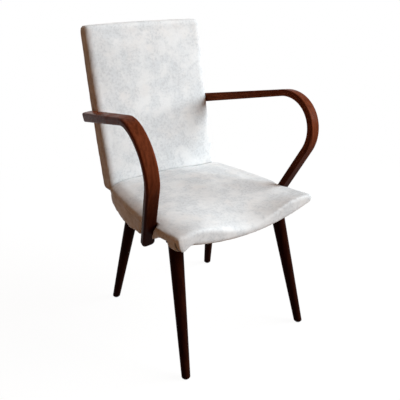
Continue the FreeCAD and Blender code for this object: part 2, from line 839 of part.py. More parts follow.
def bracket_blank():
    """Make the right bracket, bent from one flat bar."""
    tip = f"{REAR_BEARER} - bearer_width/2 + bracket_thickness"
    inner_bend = "(bracket_bend - bracket_thickness)"
    outer = bracket_turn(bracket_rear_at(BRACKET_LOW), BRACKET_LOW, "bracket_bend")
    inner = bracket_turn(bracket_front_at(BEARER_LOW), BEARER_LOW, inner_bend)
    return padded(
        "bracket_blank",
        "YZ_Plane",
        [
            (tip, BRACKET_LOW),
            outer[0],
            outer[1],
            (bracket_rear_at(BRACKET_HIGH), BRACKET_HIGH),
            (bracket_front_at(BRACKET_HIGH), BRACKET_HIGH),
            inner[1],
            inner[0],
            (tip, BEARER_LOW),
        ],
        "bracket_width",
        {1: "-bracket_bend", 5: inner_bend},
        Base__x="bracket_x",
    )


bracket = bracket_blank()

# Arms: each a strip in one leaning plane, through its fixings at the back and at the seat
STILE_MIDDLE = f"(({back_front_at('arm_back_height')} + {FRAME_FACE}"
STILE_MIDDLE += f" + {back_rear_at('arm_back_height')} - {BOARD_FACE})/2)"
RAIL_LOW = f"({skirt_at('-arm_seat_reach')} + cover_thickness)"
BACK_FIXING = (
    f"({STILE_OUTER} + arm_back_gap)",
    f"({STILE_MIDDLE} - arm_fixing_shift)",
    "arm_back_height",
)
SEAT_FIXING = (
    f"({rail_outer_at('-arm_seat_reach')} + arm_seat_gap)",
    "(-arm_seat_reach)",
    f"(({RAIL_LOW} + {RAIL_TOP})/2)",
)


def arm_plane():
    """Return the placement of the arm's middle plane, its origin at the back fixing."""
    outward = V(size.arm_width / 2, 0, 0)
    back = V(*map(value, BACK_FIXING)) + outward
    seat = V(*map(value, SEAT_FIXING)) + outward
    span = seat - back
    lean = math.tan(math.radians(size.arm_lean_angle))
    normal = V(1, (lean * span.z - span.x) / span.y, -lean).normalize()
    upward = (UP - normal * normal.dot(UP)).normalize()
    ahead = normal.cross(upward)
    turn = FreeCAD.Rotation(ahead, upward, -normal, "XYZ")
    return FreeCAD.Placement(back, turn), V(span.dot(ahead), span.dot(upward), 0)


def heading(angle):
    """Return the direction of an angle and the direction to the left of it."""
    turn = math.radians(angle)
    return V(math.cos(turn), math.sin(turn), 0), V(-math.sin(turn), math.cos(turn), 0)


def arm_outline(seat):
    """Return the corners of the arm in its own plane, and the radii of its bend."""
    rising, above = heading(size.arm_rise_angle)
    falling, ahead = heading(size.arm_rise_angle - size.arm_turn_angle)
    seat_share = seat.dot(ahead) / rising.dot(ahead)
    corner = rising * seat_share
    reach = size.arm_bend_radius * math.tan(math.radians(size.arm_turn_angle / 2))
    bend_start, bend_end = corner - rising * reach, corner + falling * reach
    tail = rising * -size.arm_tail
    tongue = seat + falling * size.arm_tongue
    thick, rear_thick = size.arm_thickness / 2, size.arm_rear_thickness / 2
    corners = [
        tail + above * rear_thick,
        bend_start + above * thick,
        bend_end + ahead * thick,
        tongue + ahead * thick,
        tongue - ahead * thick,
        bend_end - ahead * thick,
        bend_start - above * thick,
        tail - above * rear_thick,
    ]
    radii = {1: size.arm_bend_radius + thick, 5: thick - size.arm_bend_radius}
    return [(point.x, point.y) for point in corners], radii


def rounded_off(body, radius, chosen):
    """Fillet those edges of a body that a test picks out."""
    doc.recompute()
    base = body.Tip
    edges = [f"Edge{i}" for i, edge in enumerate(base.Shape.Edges, start=1) if chosen(edge)]
    fillet = body.newObject("PartDesign::Fillet", f"{body.Name}_{radius}")
    fillet.Base = (base, edges)
    bind(fillet, Radius=radius)


arm_place, seat_in_plane = arm_plane()
arm_corners, arm_radii = arm_outline(seat_in_plane)
arm_ends = [V(*arm_corners[index], 0) for index in (0, 7, 3, 4)]
arm_tips = [(arm_ends[0] + arm_ends[1]) * 0.5, (arm_ends[2] + arm_ends[3]) * 0.5]


def flat_middle(edge):
    """Return the middle of an edge of the arm, laid into the arm's own plane."""
    return V(edge.CenterOfMass.x, edge.CenterOfMass.y, 0)


def is_end_edge(edge):
    """Tell whether an edge crosses the arm's thickness at its tail or tongue."""
    return any((flat_middle(edge) - tip).Length < 0.1 for tip in arm_tips) and is_level(edge)


def is_level(edge):
    """Tell whether an edge lies in the arm's inner or outer face."""
    return edge.BoundBox.ZLength < 0.01


def is_rim(edge):
    """Tell whether an edge bounds one of the arm's broad faces, with its rounded ends."""
    middle = flat_middle(edge)
    at_end = any((middle - corner).Length < size.arm_end_rounding for corner in arm_ends)
    at_tip = any((middle - tip).Length < size.arm_end_rounding + 0.1 for tip in arm_tips)
    return at_end or (is_level(edge) and not at_tip)


arm = padded("arm_blank", "XY_Plane", arm_corners, "arm_width", arm_radii)
arm.Placement = arm_place
rounded_off(arm, "arm_end_rounding", is_end_edge)
rounded_off(arm, "arm_edge_rounding", is_rim)
arm_space = padded(
    "arm_space", "XY_Plane", arm_corners, "arm_width + 2*arm_seat_pressing", arm_radii
)
arm_space.Placement = arm_place
arm_spaces = [arm_space, mirrored("arm_space_left", arm_space)]

# Arm fixings: bolts from inside the frame, through spacers, into threaded inserts


def rod(name, diameter, start, length):
    """Make a round bar along X."""
    return feature(
        "Part::Cylinder",
        name,
        Radius=f"{diameter}/2",
        Height=length,
        Placement=pointing_x(start),
    )


def arm_fixing(name, fixing, seat_face, frame_piece_blank):
    """Make the right bolt, washer, spacer and insert of one fixing of the arm."""
    inner, y, z = fixing
    under_head = f"({seat_face} - washer_thickness)"
    insert_start = f"({inner} + insert_sink)"
    head = feature(
        "Part::Prism",
        f"{name}_head",
        Circumradius="bolt_head_diameter/2",
        Height="bolt_head_height",
        Placement=pointing_x((f"{under_head} - bolt_head_height", y, z)),
    )
    head.Polygon = 6
    shank_length = f"{insert_start} + insert_length - {under_head}"
    shank = rod(f"{name}_shank", "bolt_diameter", (under_head, y, z), shank_length)
    bolt = doc.addObject("Part::Fuse", f"{name}_bolt")
    bolt.Base = head
    bolt.Tool = shank
    disc = rod(f"{name}_disc", "washer_diameter", (under_head, y, z), "washer_thickness")
    washer = cut(f"{name}_washer", disc, shank)
    sleeve_length = f"{inner} + arm_edge_rounding - {seat_face}"
    sleeve = rod(f"{name}_sleeve", "spacer_diameter", (seat_face, y, z), sleeve_length)
    spacer = cut(f"{name}_spacer", sleeve, arm, frame_piece_blank, shank)
    plug = rod(f"{name}_plug", "insert_diameter", (insert_start, y, z), "insert_length")
    insert = cut(f"{name}_insert", plug, shank)
    return SimpleNamespace(
        bolt=bolt, washer=washer, spacer=spacer, insert=insert, plug=plug, shank=shank, sleeve=sleeve
    )


BOLT_SEAT = f"({rail_inner_at('-arm_seat_reach')} + bolt_seat_depth)"
seat_fixing = arm_fixing("seat_fixing", SEAT_FIXING, BOLT_SEAT, side_rail)
back_fixing = arm_fixing("back_fixing", BACK_FIXING, STILE_INNER, stile)
bolt_seat = rod(
    "bolt_seat",
    "(washer_diameter + 1)",
    (f"{BOLT_SEAT} - rail_thickness", *SEAT_FIXING[1:]),
    "rail_thickness",
)

# Screws and dowels


def pointing_up(start, turn=0):
    """Return the placement formula that stands the Z axis on start; a turn of 180 is downward."""
    return f"placement(vector({'; '.join(start)}); rotation(vector(1; 0; 0); {turn}))"


def screw(name, place, length):
    """Make a countersunk screw whose head lies flush at the start of a placement."""
    head = feature(
        "Part::Cone",
        f"{name}_head",
        Radius1="screw_head_diameter/2",
        Radius2="screw_diameter/2",
        Height="screw_head_height",
        Placement=place,
    )
    shank = feature(
        "Part::Cylinder",
        f"{name}_shank",
        Radius="screw_diameter/2",
        Height=length,
        Placement=place,
    )
    whole = doc.addObject("Part::Fuse", name)
    whole.Base = head
    whole.Tool = shank
    return whole


def bracket_screws():
    """Make the right bracket's screws, two up into the bearer and two into the bottom rail."""
    made = []
    for index, step in enumerate(("-bearer_width/4", "bearer_width/4")):
        place = pointing_up(("bracket_x", f"{REAR_BEARER} + {step}", BRACKET_LOW))
        made.append(screw(f"bearer_screw_{index}", place, "bracket_screw_length"))
    for index, share in enumerate(("0.3", "0.75")):
        height = f"({STILE_LOW} + bottom_rail_depth*{share})"
        face = bracket_front_at(height)
        place = along(
            ("bracket_x", face, height),
            ("bracket_x", f"{face} + 1", f"{height} - {BRACKET_SLOPE}"),
        )
        made.append(screw(f"rail_screw_{index}", place, "bracket_screw_length"))
    return made


def panel_top_at(x, y):
    """Return the height of the seat panel's upper surface at a place."""
    front = value(PANEL_FRONT)
    bend = max(0.0, (-y - size.panel_bend) / (front - size.panel_bend))
    half = value(seat_half_at(y)) - size.side_padding
    edge = size.panel_lift * bend ** 2
    centre = -size.panel_dip * bend ** 1.5
    return value(PANEL_TOP) + edge + (centre - edge) * (1 - (x / half) ** 2)


def panel_screws():
    """Make the right half's screws down through the seat panel, and the bores over their heads."""
    rail_stations = ("seat_crown_setback", "-panel_bend/2")
    places = [(f"({rail_outer_at(y)} - rail_thickness/2)", y) for y in rail_stations]
    places += [
        ("rear_top_x/2", REAR_BEARER),
        ("front_top_x/2", FRONT_BEARER),
        ("bracket_x", f"{FRAME_REAR} - rear_rail_thickness/2"),
    ]
    made, bores = [], []
    for index, (x, y) in enumerate(places):
        head = (x, y, f"{panel_top_at(value(x), value(y))} - screw_sink")
        made.append(screw(f"panel_screw_{index}", pointing_up(head, 180), "panel_screw_length"))
        bores.append(
            feature(
                "Part::Cylinder",
                f"panel_bore_{index}",
                Radius="screw_head_diameter/2",
                Height="panel_thickness",
                Placement=pointing_up(head),
            )
        )
    return made, bores


def dowel(name, joint, y, z):
    """Make a dowel along X, half to each side of a joint."""
    return rod(name, "dowel_diameter", (f"{joint} - dowel_length/2", y, z), "dowel_length")


def rail_dowels():
    """Make the right dowels between the rear rail and the side rail."""
    y = f"({FRAME_REAR} - rear_rail_thickness/2)"
    return [
        dowel(f"rail_dowel_{index}", rail_inner_at(y), y, f"{RAIL_TOP} - rear_rail_depth*{share}")
        for index, share in enumerate(("0.27", "0.73"))
    ]


def back_dowels():
    """Make the right dowels between the back's rails and its stile."""
    made = {}
    for name, (low, high) in BACK_RAILS.items():
        made[name] = []
        for index, share in enumerate(("0.27", "0.73")):
            z = f"({low} + ({high} - {low})*{share})"
            y = f"(({back_front_at(z)} + {FRAME_FACE} + {back_rear_at(z)} - {BOARD_FACE})/2)"
            made[name].append(dowel(f"{name}_dowel_{index}", STILE_INNER, y, z))
    return made


def both_sides(name, things):
    """Hold right-hand pieces and their mirror images as one object."""
    right = group(f"{name}_right", things)
    return group(name, [right, mirrored(f"{name}_left", right)])


made_bracket_screws = bracket_screws()
made_panel_screws, panel_bores = panel_screws()
made_rail_dowels = rail_dowels()
made_back_dowels = back_dowels()
every_back_dowel = [one for ones in made_back_dowels.values() for one in ones]

all_bracket_screws = node("bracket_screws", both_sides("bracket_screws", made_bracket_screws))
all_panel_screws = node("panel_screws", both_sides("panel_screws", made_panel_screws))
all_rail_dowels = node("rail_dowels", both_sides("rail_dowels", made_rail_dowels))
all_back_dowels = node("back_dowels", both_sides("back_dowels", every_back_dowel))
fixings = {"seat": seat_fixing, "back": back_fixing}
for place, fixing in fixings.items():
    for kind in ("bolt", "washer", "spacer", "insert"):
        name = f"arm_{place}_{kind}s"
        node(name, both_sides(name, [getattr(fixing, kind)]))

# Finished wooden and metal pieces


def pair(name, right):
    """Name a right-hand piece and its mirror image; right is right as seen from the front."""
    node(f"{name}_right", right)
    node(f"{name}_left", mirrored(f"{name}_left", right))


arm_bores = [bore for one in fixings.values() for bore in (one.plug, one.shank)]
pair("arm", cut("arm_bored", arm, *arm_bores))
rail_bores = (bolt_seat, seat_fixing.shank, all_panel_screws, all_rail_dowels)
pair("side_rail", cut("side_rail_bored", side_rail, *rail_bores))
pair("back_stile", cut("stile_bored", stile, back_fixing.shank, all_back_dowels))
pair("bracket", cut("bracket_bored", bracket, all_bracket_screws))
pair("front_leg", front_leg)
pair("rear_leg", rear_leg)
pair("front_glide", front_glide)
pair("rear_glide", rear_glide)
front_tenons = both_sides("front_tenons", [front_tenon])
rear_tenons = both_sides("rear_tenons", [rear_tenon])
node("front_leg_bearer", cut("front_bearer_bored", front_bearer, front_tenons, all_panel_screws))
rear_bearer_bores = (rear_tenons, all_panel_screws, all_bracket_screws)
node("rear_leg_bearer", cut("rear_bearer_bored", rear_bearer, *rear_bearer_bores))
node("rear_rail", cut("rear_rail_bored", rear_rail, all_panel_screws, all_rail_dowels))
all_panel_bores = both_sides("panel_bores", panel_bores)
node("seat_panel", cut("seat_panel_bored", panel_blank, all_panel_screws, all_panel_bores))
node("back_panel", back_panel)
node("back_rear_board", rear_board)
node("back_top_rail", cut("top_rail_bored", back_rails["top"], all_back_dowels))
node("back_arm_rail", cut("arm_rail_bored", back_rails["arm"], all_back_dowels))
bottom_rail_bores = (all_back_dowels, all_bracket_screws)
node("back_bottom_rail", cut("bottom_rail_bored", back_rails["bottom"], *bottom_rail_bores))

# Padding and covers

seat_outer = shaped("seat_outer", seat_form(0, 0))
seat_hollow = shaped("seat_hollow", seat_form(size.cover_thickness, size.skirt_depth / 2))
seat_filling = shaped("seat_filling", seat_form(size.cover_thickness, -size.cover_thickness / 2))
seat_core = shaped("seat_core", panel_form(0, 2 * size.skirt_depth))
seat_sleeves = both_sides("seat_sleeves", [seat_fixing.sleeve])
back_sleeves = both_sides("back_sleeves", [back_fixing.sleeve])
brackets = both_sides("brackets", [bracket])
node("seat_cover", cut("seat_cover_cut", seat_outer, seat_hollow, *arm_spaces))
node("seat_pad", cut("seat_pad_cut", seat_filling, seat_core, *arm_spaces, seat_sleeves))

back_outer = shaped("back_outer", back_form(0))
back_inner = shaped("back_inner", back_form(size.cover_thickness))
back_shell = cut("back_shell", back_outer, back_inner)
rear_cover = doc.addObject("Part::Common", "back_rear_cover")
rear_cover.Base = back_shell
rear_cover.Tool = rear_space
node("back_rear_cover", rear_cover)
node("back_cover", cut("back_cover_cut", back_shell, rear_space, brackets, back_sleeves))
node("back_pad", cut("back_pad_cut", back_inner, frame_space, brackets, back_sleeves))

# Checks and export

doc.recompute()
faults = [thing.Name for thing in doc.Objects if {"Invalid", "Error"} & set(thing.State)]
if faults:
    raise RuntimeError(f"objects that did not work out: {faults}")
for name, thing in NODES.items():
    if thing.Shape.isNull() or not thing.Shape.isValid():
        raise RuntimeError(f"{name} is not a sound shape")
os.makedirs("parts", exist_ok=True)
for name, thing in NODES.items():
    thing.Shape.exportStep(f"parts/{name}.step")
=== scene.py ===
"""A bridge chair: padded seat and back in pale mottled cloth, bentwood arms and turned legs.

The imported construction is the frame. This script gives it its upholstery, its finishes, a plain
studio and a camera. Sizes are in millimetres, and every mesh is in metres.
"""

import logging
import math
from collections.abc import Callable, Sequence
from dataclasses import dataclass, field
from enum import Enum

import bmesh
import bpy
import numpy as np
from mathutils import Matrix, Vector
from mathutils.bvhtree import BVHTree


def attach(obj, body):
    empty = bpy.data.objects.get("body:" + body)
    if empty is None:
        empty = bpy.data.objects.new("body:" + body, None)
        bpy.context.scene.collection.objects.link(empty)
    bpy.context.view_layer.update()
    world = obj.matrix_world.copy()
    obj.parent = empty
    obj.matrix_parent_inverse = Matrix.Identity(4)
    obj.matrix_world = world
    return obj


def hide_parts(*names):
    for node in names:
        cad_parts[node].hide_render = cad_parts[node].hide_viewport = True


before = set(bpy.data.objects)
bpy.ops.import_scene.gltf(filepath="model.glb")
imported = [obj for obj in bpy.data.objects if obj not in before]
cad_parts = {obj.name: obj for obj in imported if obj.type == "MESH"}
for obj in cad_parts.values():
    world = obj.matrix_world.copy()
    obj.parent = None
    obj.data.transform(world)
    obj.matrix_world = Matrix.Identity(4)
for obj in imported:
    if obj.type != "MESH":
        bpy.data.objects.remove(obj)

LOG = logging.getLogger("bridge_chair")
MM = 0.001
Colour = tuple[float, float, float]
WHITE: Colour = (1.0, 1.0, 1.0)
CHAIR_MIDDLE = Vector((0.0, 0.0, 0.45))

# The attribute of painted shade in folds, creases and the back's joint with the seat, and the reach
# of that painted shade in millimetres
PAINTED_SHADE = "painted_shade"
JOINT_SHADE = 4.8
JOINT_SEARCH = 20.0

# How a cover swells over its filling
CLOTH_SETTINGS = {
    "quality": 6,
    "mass": 0.35,
    "tension_stiffness": 14.0,
    "compression_stiffness": 10.0,
    "shear_stiffness": 6.0,
    "bending_stiffness": 0.6,
    "use_pressure": True,
    "uniform_pressure_force": 4.0,
}
CLOTH_FRAMES = 20
LEAST_HOLD = 0.02

# Gentle unevenness: how many waves, how their lengths differ, and what tames their sum
WAVE_COUNT = 7
WAVE_SPREAD = (0.7, 1.6)
WAVE_SHARE = 3.0

# How many sections a measure of the seat is read from
FINE_SECTIONS = 120
PLAIN_SECTIONS = 90

# How many points and sections the seat is drawn with
SHOULDER_POINTS = 10
FLANK_POINTS = 16
CROWN_POINTS = 26
UNDER_POINTS = 80
WALL_POINTS = 10
NOSE_SECTIONS = 12
BODY_SECTIONS = 80

# How many points and sections the back is drawn with
ROLL_POINTS = 9
FACE_POINTS = 70
HALF_SECTIONS = 60
CORNER_SECTIONS = 10
CORNER_POINTS = 12
RIM_POINTS = 360


class Slot(Enum):
    """The names of two of the record's material slots."""

    CLOTH = "cloth"
    FASTENER = "fastener_steel"


class Repeat(Enum):
    """What stands along a row."""

    TACK = "tack"
    STITCH = "stitch"


# Small helpers


def ease(share: float) -> float:
    """Return the fall of a rolled edge, as on a quarter circle, at a share of its run."""
    held = min(max(share, 0.0), 1.0)
    return 1.0 - math.sqrt(1.0 - held * held)


def smooth(low: float, high: float, value: np.ndarray) -> np.ndarray:
    """Return 0 before low, 1 after high, and an S curve between."""
    share = np.clip((value - low) / (high - low), 0.0, 1.0)
    return share * share * (3.0 - 2.0 * share)


def bell(offset: np.ndarray, width: float) -> np.ndarray:
    """Return a soft bump: 1 at an offset of 0, and towards 0 on both sides."""
    return np.exp(-((offset / width) ** 2))


def linked(name: str, mesh: bpy.types.Mesh) -> bpy.types.Object:
    """Return a new object in the scene that holds a mesh.

    Args:
        name: The piece's name.
        mesh: Its mesh, placed in the chair's frame.

    Returns:
        The object, at the origin.
    """
    piece = bpy.data.objects.new(name, mesh)
    bpy.context.scene.collection.objects.link(piece)
    return piece


def vectors(items: bpy.types.bpy_prop_collection, label: str) -> np.ndarray:
    """Return a vector that each of many items has, one row each.

    Args:
        items: Vertices, faces or normals of a mesh.
        label: The vector's name.

    Returns:
        The rows, as the mesh holds them.
    """
    flat = np.empty(len(items) * 3, np.float32)
    items.foreach_get(label, flat)
    return flat.reshape(-1, 3)


def coordinates(mesh: bpy.types.Mesh) -> np.ndarray:
    """Return a mesh's vertices in millimetres, one row each."""
    return vectors(mesh.vertices, "co").astype(np.float64) / MM


def put_back(mesh: bpy.types.Mesh, points: np.ndarray) -> None:
    """Write vertices in millimetres back to a mesh."""
    mesh.vertices.foreach_set("co", (points * MM).astype(np.float32).ravel())
    mesh.update()


def evaluated(piece: bpy.types.Object) -> bpy.types.Mesh:
    """Return a plain mesh of a piece with its modifiers applied."""
    graph = bpy.context.evaluated_depsgraph_get()
    return bpy.data.meshes.new_from_object(piece.evaluated_get(graph))


def baked(piece: bpy.types.Object) -> None:
    """Apply every modifier of a piece to its mesh."""
    mesh = evaluated(piece)
    old = piece.data
    piece.modifiers.clear()
    piece.data = mesh
    bpy.data.meshes.remove(old)


def skinned(work: bmesh.types.BMesh, rings: Sequence[Sequence[bmesh.types.BMVert]]) -> None:
    """Join each ring of points to the next with faces.

    Args:
        work: The mesh in hand.
        rings: Closed rings of equal count.
    """
    count = len(rings[0])
    for ring, following in zip(rings, rings[1:]):
        for index in range(count):
            after = (index + 1) % count
            work.faces.new((ring[index], ring[after], following[after], following[index]))


def meshed(name: str, work: bmesh.types.BMesh) -> bpy.types.Object:
    """Return a new object with the mesh in hand, which is then let go.

    Args:
        name: The piece's name.
        work: The mesh in hand.

    Returns:
        The piece.
    """
    mesh = bpy.data.meshes.new(name)
    work.to_mesh(mesh)
    work.free()
    return linked(name, mesh)


def tube(name: str, loops: Sequence[np.ndarray]) -> bpy.types.Object:
    """Return a closed piece lofted through loops of equal count.

    Args:
        name: The piece's name.
        loops: Closed outlines in millimetres, from one end to the other.

    Returns:
        The piece, with both ends closed and its faces outwards.
    """
    work = bmesh.new()
    rings = [[work.verts.new(point * MM) for point in loop] for loop in loops]
    skinned(work, rings)
    work.faces.new(rings[0])
    work.faces.new(rings[-1])
    bmesh.ops.recalc_face_normals(work, faces=work.faces)
    return meshed(name, work)


def remeshed(piece: bpy.types.Object, voxel: float) -> None:
    """Give a closed piece even faces.

    Args:
        piece: The piece to change.
        voxel: The size of its faces, in millimetres.
    """
    step = piece.modifiers.new("even", "REMESH")
    step.mode = "VOXEL"
    step.voxel_size = voxel * MM
    baked(piece)


def puffed(piece: bpy.types.Object, held: np.ndarray, cap: float) -> None:
    """Let a cover swell over its filling, as cloth under pressure, and keep what goes outwards.

    Args:
        piece: The even mesh of the cover.
        held: For each vertex, 1 where the cloth is tacked down and 0 where it is free.
        cap: The furthest that a point may move, in millimetres.
    """
    rest = coordinates(piece.data)
    tacked = piece.vertex_groups.new(name="tacked")
    for index in np.nonzero(held > LEAST_HOLD)[0]:
        tacked.add([int(index)], float(held[index]), "REPLACE")
    cloth = piece.modifiers.new("cover", "CLOTH").settings
    for name, value in CLOTH_SETTINGS.items():
        setattr(cloth, name, value)
    cloth.vertex_group_mass = tacked.name
    cloth.effector_weights.gravity = 0.0
    scene = bpy.context.scene
    for number in range(1, CLOTH_FRAMES + 1):
        scene.frame_set(number)
    moved = evaluated(piece)
    shift = coordinates(moved) - rest
    bpy.data.meshes.remove(moved)
    piece.modifiers.clear()
    piece.vertex_groups.clear()
    scene.frame_set(1)
    facing = vectors(piece.data.vertex_normals, "vector")
    swell = np.clip((shift * facing).sum(axis=1), 0.0, cap)
    put_back(piece.data, rest + facing * swell[:, None])


def refined(piece: bpy.types.Object) -> None:
    """Add one subdivision to a piece and shade it smooth."""
    step = piece.modifiers.new("finer", "SUBSURF")
    step.levels = 1
    step.render_levels = 1
    baked(piece)
    piece.data.shade_smooth()


def waves(points: np.ndarray, length: float, seed: int) -> np.ndarray:
    """Return gentle unevenness, the same on each run.

    Args:
        points: Where it is read, in millimetres.
        length: The usual length of a wave, in millimetres.
        seed: Which waves they are.

    Returns:
        One number per point, mostly between -1 and 1.
    """
    draw = np.random.default_rng(seed)
    total = np.zeros(len(points))
    for _ in range(WAVE_COUNT):
        heading = draw.normal(size=3)
        heading *= 2 * math.pi / (np.linalg.norm(heading) * length * draw.uniform(*WAVE_SPREAD))
        total += np.sin(points @ heading + draw.uniform(0, 2 * math.pi))
    return total / WAVE_SHARE


def note_painted_shade(piece: bpy.types.Object, shares: np.ndarray) -> None:
    """Note on each point how much painted shade it gets for lying in a fold or a joint, for the
    finish to darken by.

    Args:
        piece: The piece.
        shares: One share from 0 to 1 per point.
    """
    note = piece.data.attributes.get(PAINTED_SHADE) or piece.data.attributes.new(PAINTED_SHADE, "FLOAT", "POINT")
    kept = np.empty(len(shares), np.float32)
    note.data.foreach_get("value", kept)
    note.data.foreach_set("value", np.maximum(kept, shares).astype(np.float32))


def joint_painted_shade(piece: bpy.types.Object, other: bpy.types.Object, reach: float) -> np.ndarray:
    """Return the painted shade of each point of a piece for lying close to another piece.

    Args:
        piece: The piece whose points are read.
        other: The piece that it touches.
        reach: How far the joint's painted shade spreads, in millimetres.

    Returns:
        One share from 0 to 1 per point.
    """
    body = BVHTree.FromObject(other, bpy.context.evaluated_depsgraph_get())
    limit = JOINT_SEARCH * MM
    away = [body.find_nearest(vert.co, limit)[3] for vert in piece.data.vertices]
    far = np.array([limit if gap is None else gap for gap in away]) / MM
    return bell(far, reach)


def dressed(piece: bpy.types.Object, finish: bpy.types.Material) -> None:
    """Give a piece one finish all over.

    Args:
        piece: The piece or carried node.
        finish: Its material.
    """
    slots = piece.data.materials
    if len(slots) == 0:
        slots.append(finish)
    for index in range(len(slots)):
        slots[index] = finish


# Node building


class Nodes:
    """A small hand for laying out nodes in a tree."""

    def __init__(self, tree: bpy.types.NodeTree) -> None:
        """Take hold of a tree."""
        self.tree = tree

    def add(self, kind: str, **values: object) -> bpy.types.Node:
        """Return a new node.

        Args:
            kind: The node's type.
            values: Settings of the node, by name.

        Returns:
            The node.
        """
        made = self.tree.nodes.new(kind)
        for name, value in values.items():
            setattr(made, name, value)
        return made

    def join(self, source: object, target: object) -> None:
        """Link an output to an input."""
        self.tree.links.new(source, target)

    def feed(self, target: object, value: object) -> None:
        """Link a socket to an input, or set the input to a plain value."""
        if isinstance(value, bpy.types.NodeSocket):
            self.join(value, target)
        else:
            target.default_value = value

    def wired(self, kind: str, inputs: dict[str | int, object], **values: object) -> bpy.types.Node:
        """Return a new node with its inputs linked or set.

        Args:
            kind: The node's type.
            inputs: Sockets or plain values, by the input's name or number.
            values: Settings of the node, by name.

        Returns:
            The node.
        """
        made = self.add(kind, **values)
        for label, value in inputs.items():
            self.feed(made.inputs[label], value)
        return made

    def vector(self, operation: str, *values: object) -> bpy.types.NodeOutputs:
        """Return the outputs of one step with sockets or vectors."""
        inputs = dict(enumerate(values))
        return self.wired("ShaderNodeVectorMath", inputs, operation=operation).outputs

    def math(self, operation: str, first: object, second: object = 0.0) -> object:
        """Return the result of one sum of sockets or numbers."""
        made = self.wired("ShaderNodeMath", {0: first, 1: second}, operation=operation)
        return made.outputs[0]

    def ramp(self, value: object, low: float, high: float, least: float, most: float) -> object:
        """Return a value carried from one range to another, held at both ends.

        Args:
            value: The socket to read.
            low: Start of its range.
            high: End of its range.
            least: What low becomes.
            most: What high becomes.

        Returns:
            The output socket.
        """
        made = self.wired(
            "ShaderNodeMapRange",
            {"Value": value, "From Min": low, "From Max": high, "To Min": least, "To Max": most},
            interpolation_type="SMOOTHSTEP",
        )
        return made.outputs["Result"]

    def mix(self, share: object, first: object, second: object, blend: str = "MIX") -> object:
        """Return a mix of two colours.

        Args:
            share: How much of the second, a socket or number.
            first: A socket or colour.
            second: A socket or colour.
            blend: The kind of mix.

        Returns:
            The output socket.
        """
        made = self.add("ShaderNodeMix", data_type="RGBA", blend_type=blend)
        self.feed(made.inputs[0], share)
        for target, value in ((made.inputs[6], first), (made.inputs[7], second)):
            self.feed(target, (*value, 1.0) if isinstance(value, tuple) else value)
        return made.outputs[2]

    def noise(self, place: object, scale: object, detail: float, rough: float = 0.55) -> object:
        """Return a noise value, with its spots to the metre and the strength of finer layers."""
        inputs = {"Vector": place, "Scale": scale, "Detail": detail, "Roughness": rough}
        return self.wired("ShaderNodeTexNoise", inputs).outputs["Fac"]

    def mapped(self, place: object, scale: object) -> object:
        """Return coordinates stretched along each axis."""
        made = self.wired("ShaderNodeMapping", {"Vector": place, "Scale": scale})
        return made.outputs["Vector"]


def cleared(made: bpy.types.Material | bpy.types.World) -> Nodes:
    """Return the emptied nodes of a material or a world."""
    made.use_nodes = True
    made.node_tree.nodes.clear()
    return Nodes(made.node_tree)


class Group:
    """A shader effect that more than one finish uses, as a node group."""

    def __init__(self, name: str, inputs: dict[str, object], outputs: dict[str, str]) -> None:
        """Make an empty group.

        Args:
            name: The group's name.
            inputs: Its inputs and their usual values.
            outputs: Its outputs and their socket types.
        """
        self.tree = bpy.data.node_groups.new(name, "ShaderNodeTree")
        self.nodes = Nodes(self.tree)
        for label, value in inputs.items():
            kind = "NodeSocketColor" if isinstance(value, tuple) else "NodeSocketFloat"
            made = self.tree.interface.new_socket(name=label, in_out="INPUT", socket_type=kind)
            made.default_value = (*value, 1.0) if isinstance(value, tuple) else value
        for label, kind in outputs.items():
            self.tree.interface.new_socket(name=label, in_out="OUTPUT", socket_type=kind)
        self.source = self.nodes.add("NodeGroupInput").outputs
        self.result = self.nodes.add("NodeGroupOutput").inputs
        self.place = self.nodes.add("ShaderNodeTexCoord").outputs["Object"]

    def placed(self, nodes: Nodes, **values: object) -> bpy.types.Node:
        """Return this group as a node of a finish.

        Args:
            nodes: The finish's nodes.
            values: Its inputs, with _ for a space in their names.

        Returns:
            The group node.
        """
        made = nodes.add("ShaderNodeGroup", node_tree=self.tree)
        for label, value in values.items():
            target = made.inputs[label.replace("_", " ")]
            nodes.feed(target, (*value, 1.0) if isinstance(value, tuple) else value)
        return made


COLOUR = "NodeSocketColor"
NUMBER = "NodeSocketFloat"


def clouds_group() -> Group:
    """Return the effect of large soft clouds and small specks of tint."""
    made = Group(
        "clouds_and_specks",
        {
            "Ground": (0.8, 0.8, 0.8),
            "Cool": (0.7, 0.72, 0.78),
            "Warm": (0.85, 0.82, 0.78),
            "Speck": (0.6, 0.6, 0.62),
            "Cloud Scale": 24.0,
            "Speck Scale": 220.0,
        },
        {"Colour": COLOUR, "Specks": NUMBER},
    )
    nodes, source, place = made.nodes, made.source, made.place
    cloud = nodes.noise(place, source["Cloud Scale"], 5.0, 0.62)
    shifted = nodes.vector("ADD", place, (3.7, 1.9, 5.3))[0]
    other = nodes.noise(shifted, nodes.math("MULTIPLY", source["Cloud Scale"], 0.7), 4.0)
    speck = nodes.noise(place, source["Speck Scale"], 3.0, 0.7)
    cool = nodes.ramp(cloud, 0.36, 0.64, 0.0, 1.0)
    warm = nodes.ramp(other, 0.48, 0.70, 0.0, 0.6)
    dust = nodes.ramp(speck, 0.43, 0.64, 0.0, 0.8)
    spread = nodes.ramp(cloud, 0.38, 0.58, 0.15, 1.0)
    specks = nodes.math("MULTIPLY", dust, spread)
    tint = nodes.mix(cool, source["Ground"], source["Cool"])
    tint = nodes.mix(warm, tint, source["Warm"])
    nodes.join(nodes.mix(specks, tint, source["Speck"]), made.result["Colour"])
    nodes.join(specks, made.result["Specks"])
    return made


